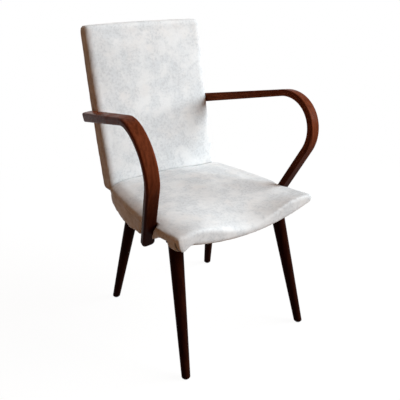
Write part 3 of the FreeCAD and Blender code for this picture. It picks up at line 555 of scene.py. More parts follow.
def grain_group() -> Group:
    """Return the effect of wood grain: streaks, pores and slow changes of tone along one axis."""
    made = Group(
        "grain",
        {
            "Light": (0.1, 0.03, 0.015),
            "Dark": (0.04, 0.01, 0.005),
            "Pore": (0.01, 0.004, 0.003),
            "Across X": 90.0,
            "Across Y": 90.0,
            "Along": 4.0,
        },
        {"Colour": COLOUR, "Pores": NUMBER, "Tone": NUMBER},
    )
    nodes, source, place = made.nodes, made.source, made.place
    axes = enumerate(("Across X", "Across Y", "Along"))
    stretch = nodes.wired("ShaderNodeCombineXYZ", {axis: source[label] for axis, label in axes})
    along = nodes.mapped(place, stretch.outputs[0])
    streak = nodes.noise(along, 1.0, 5.0, 0.62)
    pore = nodes.noise(along, 7.0, 2.0, 0.5)
    slow = nodes.noise(place, 6.0, 2.0)
    tone = nodes.ramp(streak, 0.36, 0.68, 0.0, 1.0)
    pores = nodes.ramp(pore, 0.60, 0.72, 0.0, 1.0)
    colour = nodes.mix(tone, source["Light"], source["Dark"])
    colour = nodes.mix(nodes.ramp(slow, 0.4, 0.75, 0.0, 0.45), colour, source["Dark"])
    nodes.join(nodes.mix(pores, colour, source["Pore"]), made.result["Colour"])
    nodes.join(pores, made.result["Pores"])
    nodes.join(tone, made.result["Tone"])
    return made


def rub_group() -> Group:
    """Return the effect of handling: patches where a surface has been rubbed or dulled."""
    made = Group(
        "rubbed_patches",
        {"Scale": 18.0, "Least": 0.25, "Most": 0.45},
        {"Roughness": NUMBER, "Patch": NUMBER},
    )
    nodes, source, place = made.nodes, made.source, made.place
    patch = nodes.noise(place, source["Scale"], 5.0, 0.65)
    share = nodes.ramp(patch, 0.35, 0.7, 0.0, 1.0)
    span = nodes.math("SUBTRACT", source["Most"], source["Least"])
    reach = nodes.math("MULTIPLY", share, span)
    nodes.join(nodes.math("ADD", reach, source["Least"]), made.result["Roughness"])
    nodes.join(share, made.result["Patch"])
    return made


@dataclass(frozen=True)
class Effects:
    """The effects that the finishes share."""

    clouds: Group = field(default_factory=clouds_group)
    grain: Group = field(default_factory=grain_group)
    rub: Group = field(default_factory=rub_group)


# Finishes


class Finish:
    """What every finish has: a material, its nodes and one surface shader."""

    def start(self, name: str) -> None:
        """Make the material with an empty surface.

        Args:
            name: The material's name.
        """
        self.material = bpy.data.materials.new(name)
        self.nodes = cleared(self.material)
        self.surface = self.nodes.add("ShaderNodeBsdfPrincipled")
        output = self.nodes.add("ShaderNodeOutputMaterial")
        self.nodes.join(self.surface.outputs[0], output.inputs["Surface"])
        self.place = self.nodes.add("ShaderNodeTexCoord").outputs["Object"]

    def set(self, **values: object) -> None:
        """Set the surface's inputs, with _ for a space in their names."""
        for label, value in values.items():
            self.nodes.feed(self.surface.inputs[label.replace("_", " ")], value)

    def bumped(self, height: object, strength: float, depth: float) -> None:
        """Raise the surface by a height socket, to a depth in metres."""
        inputs = {"Strength": strength, "Distance": depth, "Height": height}
        self.set(Normal=self.nodes.wired("ShaderNodeBump", inputs).outputs["Normal"])


@dataclass(frozen=True)
class ClothTones:
    """The colours of the mottled cover."""

    ground: Colour = (0.875, 0.895, 0.905)
    cool: Colour = (0.755, 0.79, 0.815)
    warm: Colour = (0.845, 0.835, 0.825)
    speck: Colour = (0.63, 0.655, 0.675)
    # fold: the colour of painted shade in folds, creases and the joint with the seat
    fold: Colour = (0.07, 0.065, 0.065)


class CoverCloth(Finish):
    """A pale cover with clouds of grey, blue and cream, specks, a fine weave, and painted shade in
    its folds, creases and joint.
    """

    def __init__(self, effects: Effects, tones: ClothTones) -> None:
        """Make the finish.

        Args:
            effects: The shared effects.
            tones: Its colours.
        """
        self.start("mottled_cover")
        nodes = self.nodes
        clouds = effects.clouds.placed(
            nodes,
            Ground=tones.ground,
            Cool=tones.cool,
            Warm=tones.warm,
            Speck=tones.speck,
            Cloud_Scale=19.0,
            Speck_Scale=135.0,
        )
        rub = effects.rub.placed(nodes, Scale=40.0, Least=0.62, Most=0.82)
        warp = self.woven((620.0, 620.0, 90.0))
        weft = self.woven((90.0, 90.0, 700.0))
        weave = nodes.math("ADD", warp, weft)
        creases = nodes.noise(self.place, 55.0, 6.0, 0.6)
        height = nodes.math("ADD", nodes.math("MULTIPLY", weave, 0.35), creases)
        threads = nodes.ramp(weave, 0.7, 1.25, 0.0, 0.16)
        colour = nodes.mix(threads, clouds.outputs["Colour"], tones.speck)
        # Painted shade: the colour darkens towards the fold colour where a point is noted as lying
        # in a fold, crease or joint
        painted_shade_note = nodes.add("ShaderNodeAttribute", attribute_name=PAINTED_SHADE)
        shade = nodes.ramp(painted_shade_note.outputs["Fac"], 0.1, 1.0, 0.0, 0.9)
        colour = nodes.mix(shade, colour, tones.fold)
        self.set(Base_Color=colour, Roughness=rub.outputs["Roughness"])
        self.set(Specular_IOR_Level=0.22, Sheen_Weight=0.06, Sheen_Roughness=0.5)
        self.bumped(height, 0.35, 0.0009)

    def woven(self, stretch: tuple[float, float, float]) -> object:
        """Return the threads that run one way, as a value."""
        return self.nodes.noise(self.nodes.mapped(self.place, stretch), 1.0, 2.0, 0.5)


@dataclass(frozen=True)
class WoodTones:
    """The colours and gloss of a wooden piece."""

    light: Colour
    dark: Colour
    pore: Colour
    least_rough: float = 0.24
    most_rough: float = 0.42
    gloss: float = 0.008


class StainedWood(Finish):
    """Stained and lacquered wood whose grain runs along one axis of the chair."""

    def __init__(self, name: str, effects: Effects, tones: WoodTones, stretch: Colour) -> None:
        """Make the finish.

        Args:
            name: The material's name.
            effects: The shared effects.
            tones: Its colours and gloss.
            stretch: How fine the grain is along X, Y and Z.
        """
        self.start(name)
        nodes = self.nodes
        grain = effects.grain.placed(
            nodes,
            Light=tones.light,
            Dark=tones.dark,
            Pore=tones.pore,
            Across_X=stretch[0],
            Across_Y=stretch[1],
            Along=stretch[2],
        )
        rub = effects.rub.placed(nodes, Scale=22.0, Least=tones.least_rough, Most=tones.most_rough)
        fade = nodes.ramp(rub.outputs["Patch"], 0.3, 1.0, 0.0, 0.22)
        colour = nodes.mix(fade, grain.outputs["Colour"], tones.light)
        self.set(Base_Color=colour, Roughness=rub.outputs["Roughness"])
        self.set(Specular_IOR_Level=tones.gloss)
        self.bumped(nodes.math("MULTIPLY", grain.outputs["Pores"], -1.0), 0.25, 0.0003)


class BentWood(Finish):
    """Stained bentwood whose grain follows the strip round its bend, with painted shade towards its
    lower end.
    """

    def __init__(self, name: str, effects: Effects, tones: WoodTones, path: "ArmPath") -> None:
        """Make the finish.

        Args:
            name: The material's name.
            effects: The shared effects.
            tones: Its colours and gloss.
            path: Where the strip runs.
        """
        self.start(name)
        nodes = self.nodes
        split = nodes.wired("ShaderNodeSeparateXYZ", {0: self.place})
        run = nodes.math("SUBTRACT", split.outputs["Y"], split.outputs["Z"])
        fineness = ((self.depth_in_strip(path), 330.0), (split.outputs["X"], 150.0), (run, 7.0))
        stretched = [nodes.math("MULTIPLY", *pair) for pair in fineness]
        across = nodes.wired("ShaderNodeCombineXYZ", dict(enumerate(stretched)))
        streak = nodes.noise(across.outputs[0], 1.0, 5.0, 0.62)
        pore = nodes.noise(across.outputs[0], 5.0, 2.0)
        tone = nodes.ramp(streak, 0.36, 0.66, 0.0, 1.0)
        pores = nodes.ramp(pore, 0.60, 0.72, 0.0, 1.0)
        rub = effects.rub.placed(nodes, Scale=16.0, Least=tones.least_rough, Most=tones.most_rough)
        colour = nodes.mix(tone, tones.light, tones.dark)
        colour = nodes.mix(pores, colour, tones.pore)
        fade = nodes.ramp(rub.outputs["Patch"], 0.35, 1.0, 0.0, 0.3)
        colour = nodes.mix(fade, colour, tones.light)
        # Painted shade: the colour darkens towards the pore colour low on the arm, below about 0.6
        # m
        foot = nodes.ramp(split.outputs["Z"], 0.44, 0.60, 0.85, 0.0)
        self.set(Base_Color=nodes.mix(foot, colour, tones.pore), Roughness=rub.outputs["Roughness"])
        self.set(Specular_IOR_Level=tones.gloss)
        self.bumped(nodes.math("MULTIPLY", pores, -1.0), 0.22, 0.0003)

    def depth_in_strip(self, path: "ArmPath") -> object:
        """Return how far a point lies outside the strip's middle line.

        Args:
            path: Where the strip runs.

        Returns:
            The output socket, in metres.
        """
        nodes = self.nodes
        centre = (0.0, path.centre_y * MM, path.centre_z * MM)
        offset = nodes.vector("SUBTRACT", self.place, centre)[0]
        flat = nodes.vector("MULTIPLY", offset, (0.0, 1.0, 1.0))[0]

        def reach(heading: float) -> object:
            """Return how far a point lies from the bend's centre along a heading."""
            turn = math.radians(heading)
            aim = (0.0, math.cos(turn), math.sin(turn))
            return nodes.vector("DOT_PRODUCT", flat, aim)["Value"]

        round_bend = nodes.vector("LENGTH", flat)["Value"]
        straight = nodes.math("MAXIMUM", reach(path.upper_normal), reach(path.lower_normal))
        ahead = nodes.math("GREATER_THAN", reach(path.upper_normal + 90.0), 0.0)
        below = nodes.math("GREATER_THAN", reach(path.lower_normal - 90.0), 0.0)
        in_bend = nodes.math("MULTIPLY", ahead, below)
        bend = nodes.math("MULTIPLY", in_bend, round_bend)
        rest = nodes.math("MULTIPLY", nodes.math("SUBTRACT", 1.0, in_bend), straight)
        return nodes.math("ADD", bend, rest)


class Steel(Finish):
    """Plain or plated steel with a fine brushed unevenness."""

    def __init__(
        self, name: str, effects: Effects, bright: Colour, dull: Colour, rough: float
    ) -> None:
        """Make the finish.

        Args:
            name: The material's name.
            effects: The shared effects.
            bright: Its colour where it is clean.
            dull: Its colour where it has dulled.
            rough: Its usual roughness.
        """
        self.start(name)
        rub = effects.rub.placed(self.nodes, Scale=160.0, Least=rough - 0.1, Most=rough + 0.15)
        colour = self.nodes.mix(rub.outputs["Patch"], bright, dull)
        self.set(Base_Color=colour, Roughness=rub.outputs["Roughness"], Metallic=1.0)
        self.bumped(rub.outputs["Patch"], 0.12, 0.0002)


class Thread(Finish):
    """Sewing thread, twisted and a little uneven in tone."""

    def __init__(self, effects: Effects) -> None:
        """Make the finish with the shared effects."""
        self.start("sewing_thread")
        clouds = effects.clouds.placed(
            self.nodes,
            Ground=(0.72, 0.72, 0.70),
            Cool=(0.60, 0.61, 0.62),
            Warm=(0.72, 0.68, 0.62),
            Speck=(0.5, 0.5, 0.5),
            Cloud_Scale=300.0,
            Speck_Scale=2400.0,
        )
        self.set(Base_Color=clouds.outputs["Colour"], Roughness=0.8)
        self.bumped(clouds.outputs["Specks"], 0.4, 0.0002)


# Forms of the upholstery


@dataclass(frozen=True)
class ArmPath:
    """Where the right arm runs, seen from the chair's side, and where it passes the seat."""

    centre_y: float = -84.0
    centre_z: float = 591.0
    upper_normal: float = 80.0
    lower_normal: float = 211.0
    seat_level: float = 400.0
    seat_y: float = -124.25
    seat_y_slope: float = -0.595
    seat_inner: float = 209.0
    seat_inner_slope: float = 0.172
    half_thickness: float = 10.0

    def pressed(self, points: np.ndarray, clearance: float, spread: float) -> np.ndarray:
        """Press the seat's sides in where the arms lie against them.

        Args:
            points: Points of the seat, in millimetres.
            clearance: The room left between them and the arm.
            spread: How far beside the arm the cloth is drawn in with it.

        Returns:
            The points, moved towards the chair's middle.
        """
        level = points[:, 2] - self.seat_level
        tilt = math.cos(math.atan(self.seat_y_slope))
        beside = np.abs(points[:, 1] - self.seat_y - self.seat_y_slope * level) * tilt
        inner = self.seat_inner + self.seat_inner_slope * level - clearance
        over = np.maximum(0.0, np.abs(points[:, 0]) - inner)
        share = 1.0 - smooth(self.half_thickness + 1.0, self.half_thickness + spread, beside)
        moved = points.copy()
        moved[:, 0] -= np.sign(points[:, 0]) * over * share
        return moved


@dataclass(frozen=True)
class Ridge:
    """A raised line in the cloth with a hollow beside it, in millimetres."""

    rise: float
    width: float
    hollow: float
    hollow_place: float
    hollow_width: float

    def at(self, offset: np.ndarray) -> np.ndarray:
        """Return how far the cloth stands out at offsets from the line."""
        beside = self.hollow * bell(offset - self.hollow_place, self.hollow_width)
        return self.rise * bell(offset, self.width) - beside


@dataclass
class Seat:
    """The covered seat: a crowned pad on a moulded panel, its cloth drawn down and turned under.

    The left falls more than the right and has the folded ear, to follow the photograph.
    """

    cloth: bpy.types.Material
    tack_steel: bpy.types.Material
    arm: ArmPath
    height: float = 419.0
    edge_lift: float = 5.5
    front: float = 268.0
    rear: float = 154.5
    half_width: float = 230.0
    widest: float = 150.0
    rear_half_width: float = 200.5
    crown: float = 24.0
    crown_setback: float = 44.0
    dip: float = 39.0
    corner_rise: float = 11.0
    corner_run: float = 118.0
    corner_depth: float = 17.0
    pull: float = 6.0
    pull_place: float = 150.0
    pull_spread: float = 20.0
    lip_depth: float = 31.5
    nose_length: float = 34.0
    nose_drop: float = 13.0
    nose_lift: float = 10.0
    lip_turn: float = 17.0
    left_roll: float = 46.0
    left_roll_drop: float = 9.0
    tip_length: float = 9.0
    tip_drop: float = 5.0
    corner_round: float = 11.0
    rear_roll: float = 6.0
    rear_drop: float = 5.0
    rear_draw: float = 1.0
    skirt_depth: float = 61.0
    skirt_radius: float = 495.0
    skirt_setback: float = 30.0
    side_draw: float = 2.5
    side_bulge: float = 0.8
    shoulder: float = 11.0
    shoulder_round: float = 10.0
    crease_room: float = 2.0
    left_crease_room: float = 1.0
    left_crease_drop: float = 3.0
    crease: Ridge = Ridge(1.3, 2.6, 1.04, -6.0, 4.0)
    crease_band: tuple[float, float] = (14.0, 6.0)
    crease_start: tuple[float, float] = (90.0, 150.0)
    # Painted shade under the side's crease: its strength, how far below the crease, and its width
    crease_painted_shade: tuple[float, float, float] = (0.5, 1.5, 1.6)
    left_slope: float = 31.0
    front_slope: float = 17.0
    right_slope: float = 4.0
    slope_run: float = 46.0
    slope_change: tuple[float, float] = (130.0, 240.0)
    ear_start: float = 221.0
    ear_level: float = 393.5
    ear_width: float = 40.0
    ear_top: float = 16.0
    ear_flare: float = 5.0
    ear_turn: float = 5.0
    ear_side: float = 6.0
    flare_run: tuple[float, float] = (8.0, 24.0)
    fine_width: float = 46.0
    fine_run: float = 8.0
    fold: Ridge = Ridge(2.6, 1.3, 1.8, 3.4, 2.2)
    fold_place: float = 7.0
    fold_lean: float = 7.0
    fold_height: float = 30.0
    fold_fade: float = 0.7
    fold_band: tuple[float, float] = (36.0, 26.0)
    # How wide the painted shade in the corner's fold is
    fold_painted_shade: float = 1.8
    wall: float = 1.8
    hem: float = 20.0
    hem_facing: float = -0.3
    station_gap: float = 2.0
    voxel: float = 5.0
    puff_cap: float = 4.0
    hold_level: float = 402.0
    hold_run: tuple[float, float] = (4.0, 18.0)
    side_hold: tuple[float, float] = (48.0, 22.0)
    front_hold: tuple[float, float] = (40.0, 20.0)
    rear_hold: tuple[float, float] = (30.0, 14.0)
    arm_clearance: float = 0.3
    arm_spread: float = 17.0
    wave_length: float = 46.0
    wave_seed: int = 5
    wave_start: tuple[float, float] = (150.0, 215.0)
    wave_depth: tuple[float, float, float] = (0.45, 0.0, 0.3)
    tack_inset: float = 7.0
    tack_spacing: float = 24.0
    tack_ends: tuple[float, float] = (12.0, 8.0)
    tack_corner: float = 56.0
    tack_points: int = 60

    def half_at(self, y: float) -> float:
        """Return half the seat's width at a place along the chair."""
        share = (y + self.widest) / (self.rear + self.widest)
        return self.half_width - (self.half_width - self.rear_half_width) * share**2

    def levels(self, y: float) -> dict[str, float]:
        """Return the heights and half widths of the section across the chair.

        Args:
            y: The place along the chair.

        Returns:
            The named measures of the section.
        """
        behind = self.front + y
        runs = (self.nose_length, self.tip_length, self.lip_turn, self.left_roll)
        nose, tip, turned, rolled = (ease(1 - behind / run) for run in runs)
        tail = ease(1 - (self.rear - y) / self.rear_roll)
        back_fall = self.rear_drop * tail
        edge = self.height + self.corner_rise * max(0.0, 1 - behind / self.corner_run) ** 2
        share = (y - self.crown_setback) / (self.front + self.crown_setback)
        centre = self.height + self.crown - self.dip * share**2
        belly = (y - self.skirt_setback) ** 2 / (2 * self.skirt_radius)
        skirt = self.height - self.skirt_depth + belly
        skirt -= self.pull * math.exp(-(((y + self.pull_place) / self.pull_spread) ** 2))
        low = min(skirt, edge - self.corner_depth)
        lip = min(low, centre - self.lip_depth) + self.nose_lift * turned
        low += self.tip_drop * tip
        side = self.half_at(y)
        half = side - self.corner_round * turned - self.rear_draw * tail
        edge += self.edge_lift - back_fall - self.tip_drop * tip
        crease = edge - self.shoulder
        left_edge = edge - self.left_roll_drop * rolled
        left_crease = min(crease, left_edge - self.left_crease_drop)
        return {
            "low": low,
            "lip": lip,
            "edge": edge,
            "centre": centre - back_fall - self.nose_drop * nose,
            "side": side,
            "half": half,
            "crease": max(crease, low + self.crease_room),
            "left_edge": left_edge,
            "left_crease": max(left_crease, low + self.left_crease_room),
            "foot": half - self.side_draw,
        }

    def measured(self, label: str, y: np.ndarray, count: int) -> np.ndarray:
        """Return a measure at places along the chair, read from a count of sections."""
        places = np.linspace(-self.front, self.rear, count)
        return np.interp(y, places, [self.levels(place)[label] for place in places])

    @staticmethod
    def underside(x: np.ndarray, at: dict[str, float]) -> np.ndarray:
        """Return the height of the lower edge at places across a section."""
        return at["lip"] + (at["low"] - at["lip"]) * (x / at["foot"]) ** 2

    def upper(self, at: dict[str, float], side: str, slope: float) -> np.ndarray:
        """Return half of the section, from its crease to its crown.

        Args:
            at: The section's measures.
            side: What the names of the measures for this side begin with.
            slope: How steeply the top falls to the side, in degrees.

        Returns:
            The outline as x and z.
        """
        turn = np.linspace(0, math.radians(90 - slope), SHOULDER_POINTS)
        edge, crease = at[f"{side}edge"], at[f"{side}crease"]
        high = edge - crease
        corner = np.column_stack(
            [
                at["half"] - self.shoulder_round * (1 - np.cos(turn)),
                crease + high * np.sin(turn) / np.sin(turn[-1]),
            ]
        )
        end = corner[-1, 0]
        run = np.linspace(0, 1, FLANK_POINTS)[1:] * self.slope_run
        rise = math.tan(math.radians(slope)) * (run - run**2 / (2 * self.slope_run))
        flank = np.column_stack([end - run, edge + rise])
        x = np.linspace(flank[-1, 0], 0, CROWN_POINTS)[1:]
        share = x / flank[-1, 0]
        crown = at["centre"] + (flank[-1, 1] - at["centre"]) * share**2 * (3 - 2 * share)
        return np.vstack([corner, flank, np.column_stack([x, crown])])

    def section(self, y: float) -> np.ndarray:
        """Return the closed outline across the chair.

        Args:
            y: The place along the chair.

        Returns:
            The outline in millimetres.
        """
        at = self.levels(y)
        x = np.linspace(at["foot"], -at["foot"], UNDER_POINTS)
        under = np.column_stack([x, self.underside(x, at)])
        rise = np.linspace(0, 1, WALL_POINTS)[1:-1]
        foot = under[0]
        bulge = np.column_stack([self.side_bulge * np.sin(math.pi * rise), np.zeros(len(rise))])
        walls = [
            foot + (np.array((at["half"], at[label])) - foot) * rise[:, None] + bulge
            for label in ("crease", "left_crease")
        ]
        ahead = float(smooth(*self.slope_change, np.array(-y)))
        fall = self.left_slope + (self.front_slope - self.left_slope) * ahead
        right = np.vstack([walls[0], self.upper(at, "", self.right_slope)])
        left = np.vstack([walls[1], self.upper(at, "left_", fall)])[-2::-1] * (-1, 1)
        loop = np.vstack([under[1:-1][::-1], under[:1], right, left, under[-1:]])
        return np.column_stack([loop[:, 0], np.full(len(loop), y), loop[:, 1]])

    def stations(self) -> np.ndarray:
        """Return places along the chair, close together where the form turns."""
        turn = 1 - np.cos(np.linspace(0, math.pi / 2, NOSE_SECTIONS))
        nose = -self.front + self.nose_length * turn
        start = -self.front + self.nose_length + self.station_gap
        middle = np.linspace(start, self.rear - self.rear_roll, BODY_SECTIONS)
        tail = self.rear - self.rear_roll * turn[::-1]
        return np.unique(np.concatenate([nose, middle, tail]).round(3))

    def opened(self, piece: bpy.types.Object) -> None:
        """Open the cover below, leave a turned-in hem, and give the cloth its thickness.

        Args:
            piece: The closed cover.
        """
        mesh = piece.data
        x, y, _ = (vectors(mesh.polygons, "center") / MM).T
        down = vectors(mesh.polygons, "normal")[:, 2] < self.hem_facing
        ends = (-self.front + self.hem, self.rear - self.hem)
        inside = np.abs(x) < self.measured("foot", y, FINE_SECTIONS) - self.hem
        gone = np.nonzero(inside & (y > ends[0]) & (y < ends[1]) & down)[0]
        work = bmesh.new()
        work.from_mesh(mesh)
        work.faces.ensure_lookup_table()
        bmesh.ops.delete(work, geom=[work.faces[index] for index in gone], context="FACES")
        rim = [vert for vert in work.verts if vert.is_boundary]
        along = np.array([vert.co.y for vert in rim]) / MM
        for vert, foot in zip(rim, self.measured("foot", along, FINE_SECTIONS)):
            self.trimmed(vert, ends, float(foot) - self.hem)
        work.to_mesh(mesh)
        work.free()
        step = piece.modifiers.new("cloth", "SOLIDIFY")
        step.thickness = self.wall * MM
        step.offset = -1.0
        baked(piece)

    @staticmethod
    def trimmed(vert: bmesh.types.BMVert, ends: tuple[float, float], mouth: float) -> None:
        """Bring a point of the hem's inner edge onto its line.

        Args:
            vert: The point.
            ends: Where the opening starts and ends along the chair.
            mouth: Half the opening's width here.
        """
        y, x = vert.co.y / MM, vert.co.x / MM
        gaps = (abs(y - ends[0]), abs(y - ends[1]), abs(abs(x) - mouth))
        if min(gaps) == gaps[2]:
            vert.co.x = math.copysign(mouth, x) * MM
        else:
            vert.co.y = (ends[0] if gaps[0] < gaps[1] else ends[1]) * MM

    def finer_corner(self, piece: bpy.types.Object) -> None:
        """Give the left front corner smaller faces, for its fold.

        Args:
            piece: The closed cover.
        """
        work = bmesh.new()
        work.from_mesh(piece.data)
        inner, rear = self.fine_width - self.half_width, self.fine_run - self.ear_start
        near = [vert.co.x / MM < inner and vert.co.y / MM < rear for vert in work.verts]
        chosen = [edge for edge in work.edges if all(near[vert.index] for vert in edge.verts)]
        bmesh.ops.subdivide_edges(work, edges=chosen, cuts=2, use_grid_fill=True)
        bmesh.ops.triangulate(work, faces=[face for face in work.faces if len(face.verts) > 4])
        work.to_mesh(piece.data)
        work.free()

    def eared(self, points: np.ndarray) -> np.ndarray:
        """Draw the cloth down at the left front corner, where it is folded over the leg's bearer.

        Args:
            points: The cover's points, in millimetres.

        Returns:
            The points, moved.
        """
        low, lip, foot = (
            self.measured(label, points[:, 1], FINE_SECTIONS) for label in ("low", "lip", "foot")
        )
        level = lip + (low - lip) * np.minimum(1.0, np.abs(points[:, 0]) / foot) ** 2
        down = np.clip((level + self.ear_top - points[:, 2]) / self.ear_top, 0.0, 1.0) ** 2
        along = smooth(self.ear_start, self.ear_start + self.ear_turn, -points[:, 1])
        across = smooth(foot - self.ear_width, foot - self.ear_side, -points[:, 0])
        flared = 1.0 - smooth(*(self.ear_start + run for run in self.flare_run), -points[:, 1])
        share = down * along * across
        moved = points.copy()
        moved[:, 2] -= np.maximum(0.0, level - self.ear_level) * share
        moved[:, 1] += self.ear_flare * share * flared
        return moved

    def crease_offsets(self, points: np.ndarray) -> tuple[np.ndarray, np.ndarray]:
        """Return how far points lie above the side's crease, and how surely they lie on a side.

        Args:
            points: The cover's points, in millimetres.

        Returns:
            The heights above the crease, and shares from 0 to 1.
        """
        y = np.clip(points[:, 1], -self.front + self.crease_room, self.rear - self.crease_room)
        crease, half = (self.measured(label, y, PLAIN_SECTIONS) for label in ("crease", "side"))
        near = smooth(*(half - inset for inset in self.crease_band), np.abs(points[:, 0]))
        behind = smooth(*(run - self.front for run in self.crease_start), points[:, 1])
        return points[:, 2] - crease, near * behind

    def fold_offsets(self, points: np.ndarray) -> tuple[np.ndarray, np.ndarray]:
        """Return how far points lie behind the corner's fold, and how surely they belong to it.

        Args:
            points: The cover's points, in millimetres.

        Returns:
            The distances along the chair, and shares from 0 to 1.
        """
        rise = np.clip((points[:, 2] - self.ear_level) / self.fold_height, 0.0, 1.0)
        line = -self.front + self.fold_place + self.fold_lean * rise
        corner = smooth(*(self.half_width - inset for inset in self.fold_band), -points[:, 0])
        return points[:, 1] - line, corner * (1.0 - smooth(self.fold_fade, 1.0, rise))

    def creased(self, points: np.ndarray) -> np.ndarray:
        """Sharpen the crease along the sides, and lay the fold at the left front corner.

        Args:
            points: The cover's points, in millimetres.

        Returns:
            The points, moved.
        """
        moved = points.copy()
        offset, near = self.crease_offsets(points)
        moved[:, 0] += np.sign(points[:, 0]) * self.crease.at(offset) * near
        off, corner = self.fold_offsets(points)
        moved[:, 0] += self.fold.at(off) * corner
        return moved

    def painted_shade_shares(self, points: np.ndarray) -> np.ndarray:
        """Return the painted shade of points in the corner's fold and under the side's crease.

        Args:
            points: The cover's points, in millimetres.

        Returns:
            One share from 0 to 1 per point.
        """
        off, corner = self.fold_offsets(points)
        offset, near = self.crease_offsets(points)
        share, below, width = self.crease_painted_shade
        fold = bell(off, self.fold_painted_shade) * corner
        return np.maximum(fold, share * bell(offset + below, width) * near)

    def held(self, points: np.ndarray) -> np.ndarray:
        """Return where the cloth is tacked down or drawn tight, and doesn't swell.

        Args:
            points: The cover's points, in millimetres.

        Returns:
            One share from 0 to 1 per point.
        """
        low, side = (self.measured(key, points[:, 1], PLAIN_SECTIONS) for key in ("low", "side"))
        over = points[:, 2] - np.minimum(low, self.hold_level)
        front = smooth(*(self.front - run for run in self.front_hold), -points[:, 1])
        rear = smooth(*(self.rear - run for run in self.rear_hold), points[:, 1])
        rim = smooth(*(-run for run in self.side_hold), np.abs(points[:, 0]) - side)
        return np.max([1.0 - smooth(*self.hold_run, over), rim, front, rear], axis=0)

    def build(self) -> bpy.types.Object:
        """Return the finished cover and pad."""
        piece = tube("seat_upholstery", [self.section(y) for y in self.stations()])
        remeshed(piece, self.voxel)
        puffed(piece, self.held(coordinates(piece.data)), self.puff_cap)
        refined(piece)
        self.finer_corner(piece)
        points = coordinates(piece.data)
        points = self.arm.pressed(points, self.arm_clearance, self.arm_spread)
        points = self.creased(self.eared(points))
        sides = smooth(*self.wave_start, np.abs(points[:, 0]))[:, None]
        uneven = waves(points, self.wave_length, self.wave_seed)[:, None]
        points += sides * uneven * np.array(self.wave_depth)
        put_back(piece.data, points)
        # Painted shade in the corner's fold and under the side's crease
        note_painted_shade(piece, self.painted_shade_shares(points))
        self.opened(piece)
        piece.data.shade_smooth()
        piece.data.materials.clear()
        dressed(piece, self.cloth)
        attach(piece, "root")
        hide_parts("seat_cover", "seat_pad")
        LOG.info("seat_upholstery: %d faces", len(piece.data.polygons))
        return piece

    def tack_line(self) -> list[np.ndarray]:
        """Return the lines of tacks under the turned hem, one for each run."""
        inner = self.hem - self.tack_inset
        first, last = self.tack_ends
        places = np.linspace(first - self.ear_start, self.rear - self.hem - last, self.tack_points)
        runs = []
        for side in (-1, 1):
            spots = []
            for y in places:
                at = self.levels(y)
                x = at["foot"] - inner
                spots.append((side * x, y, float(self.underside(np.array([x]), at)[0])))
            runs.append(np.array(spots))
        for y in (-self.front + inner, self.rear - inner):
            at = self.levels(y)
            end = at["foot"] - self.tack_corner
            x = np.linspace(-end, end, self.tack_points)
            runs.append(np.column_stack([x, np.full(len(x), y), self.underside(x, at)]))
        return runs

    def build_tacks(self) -> bpy.types.Object:
        """Return the tacks that hold the hem, as one piece."""
        row = Row(Repeat.TACK, self.tack_spacing, length=4.6, thickness=1.1, finish=self.tack_steel)
        piece = row.along("hem_tacks", self.tack_line())
        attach(piece, "root")
        LOG.info("hem_tacks: %d faces", len(piece.data.polygons))
        return piece


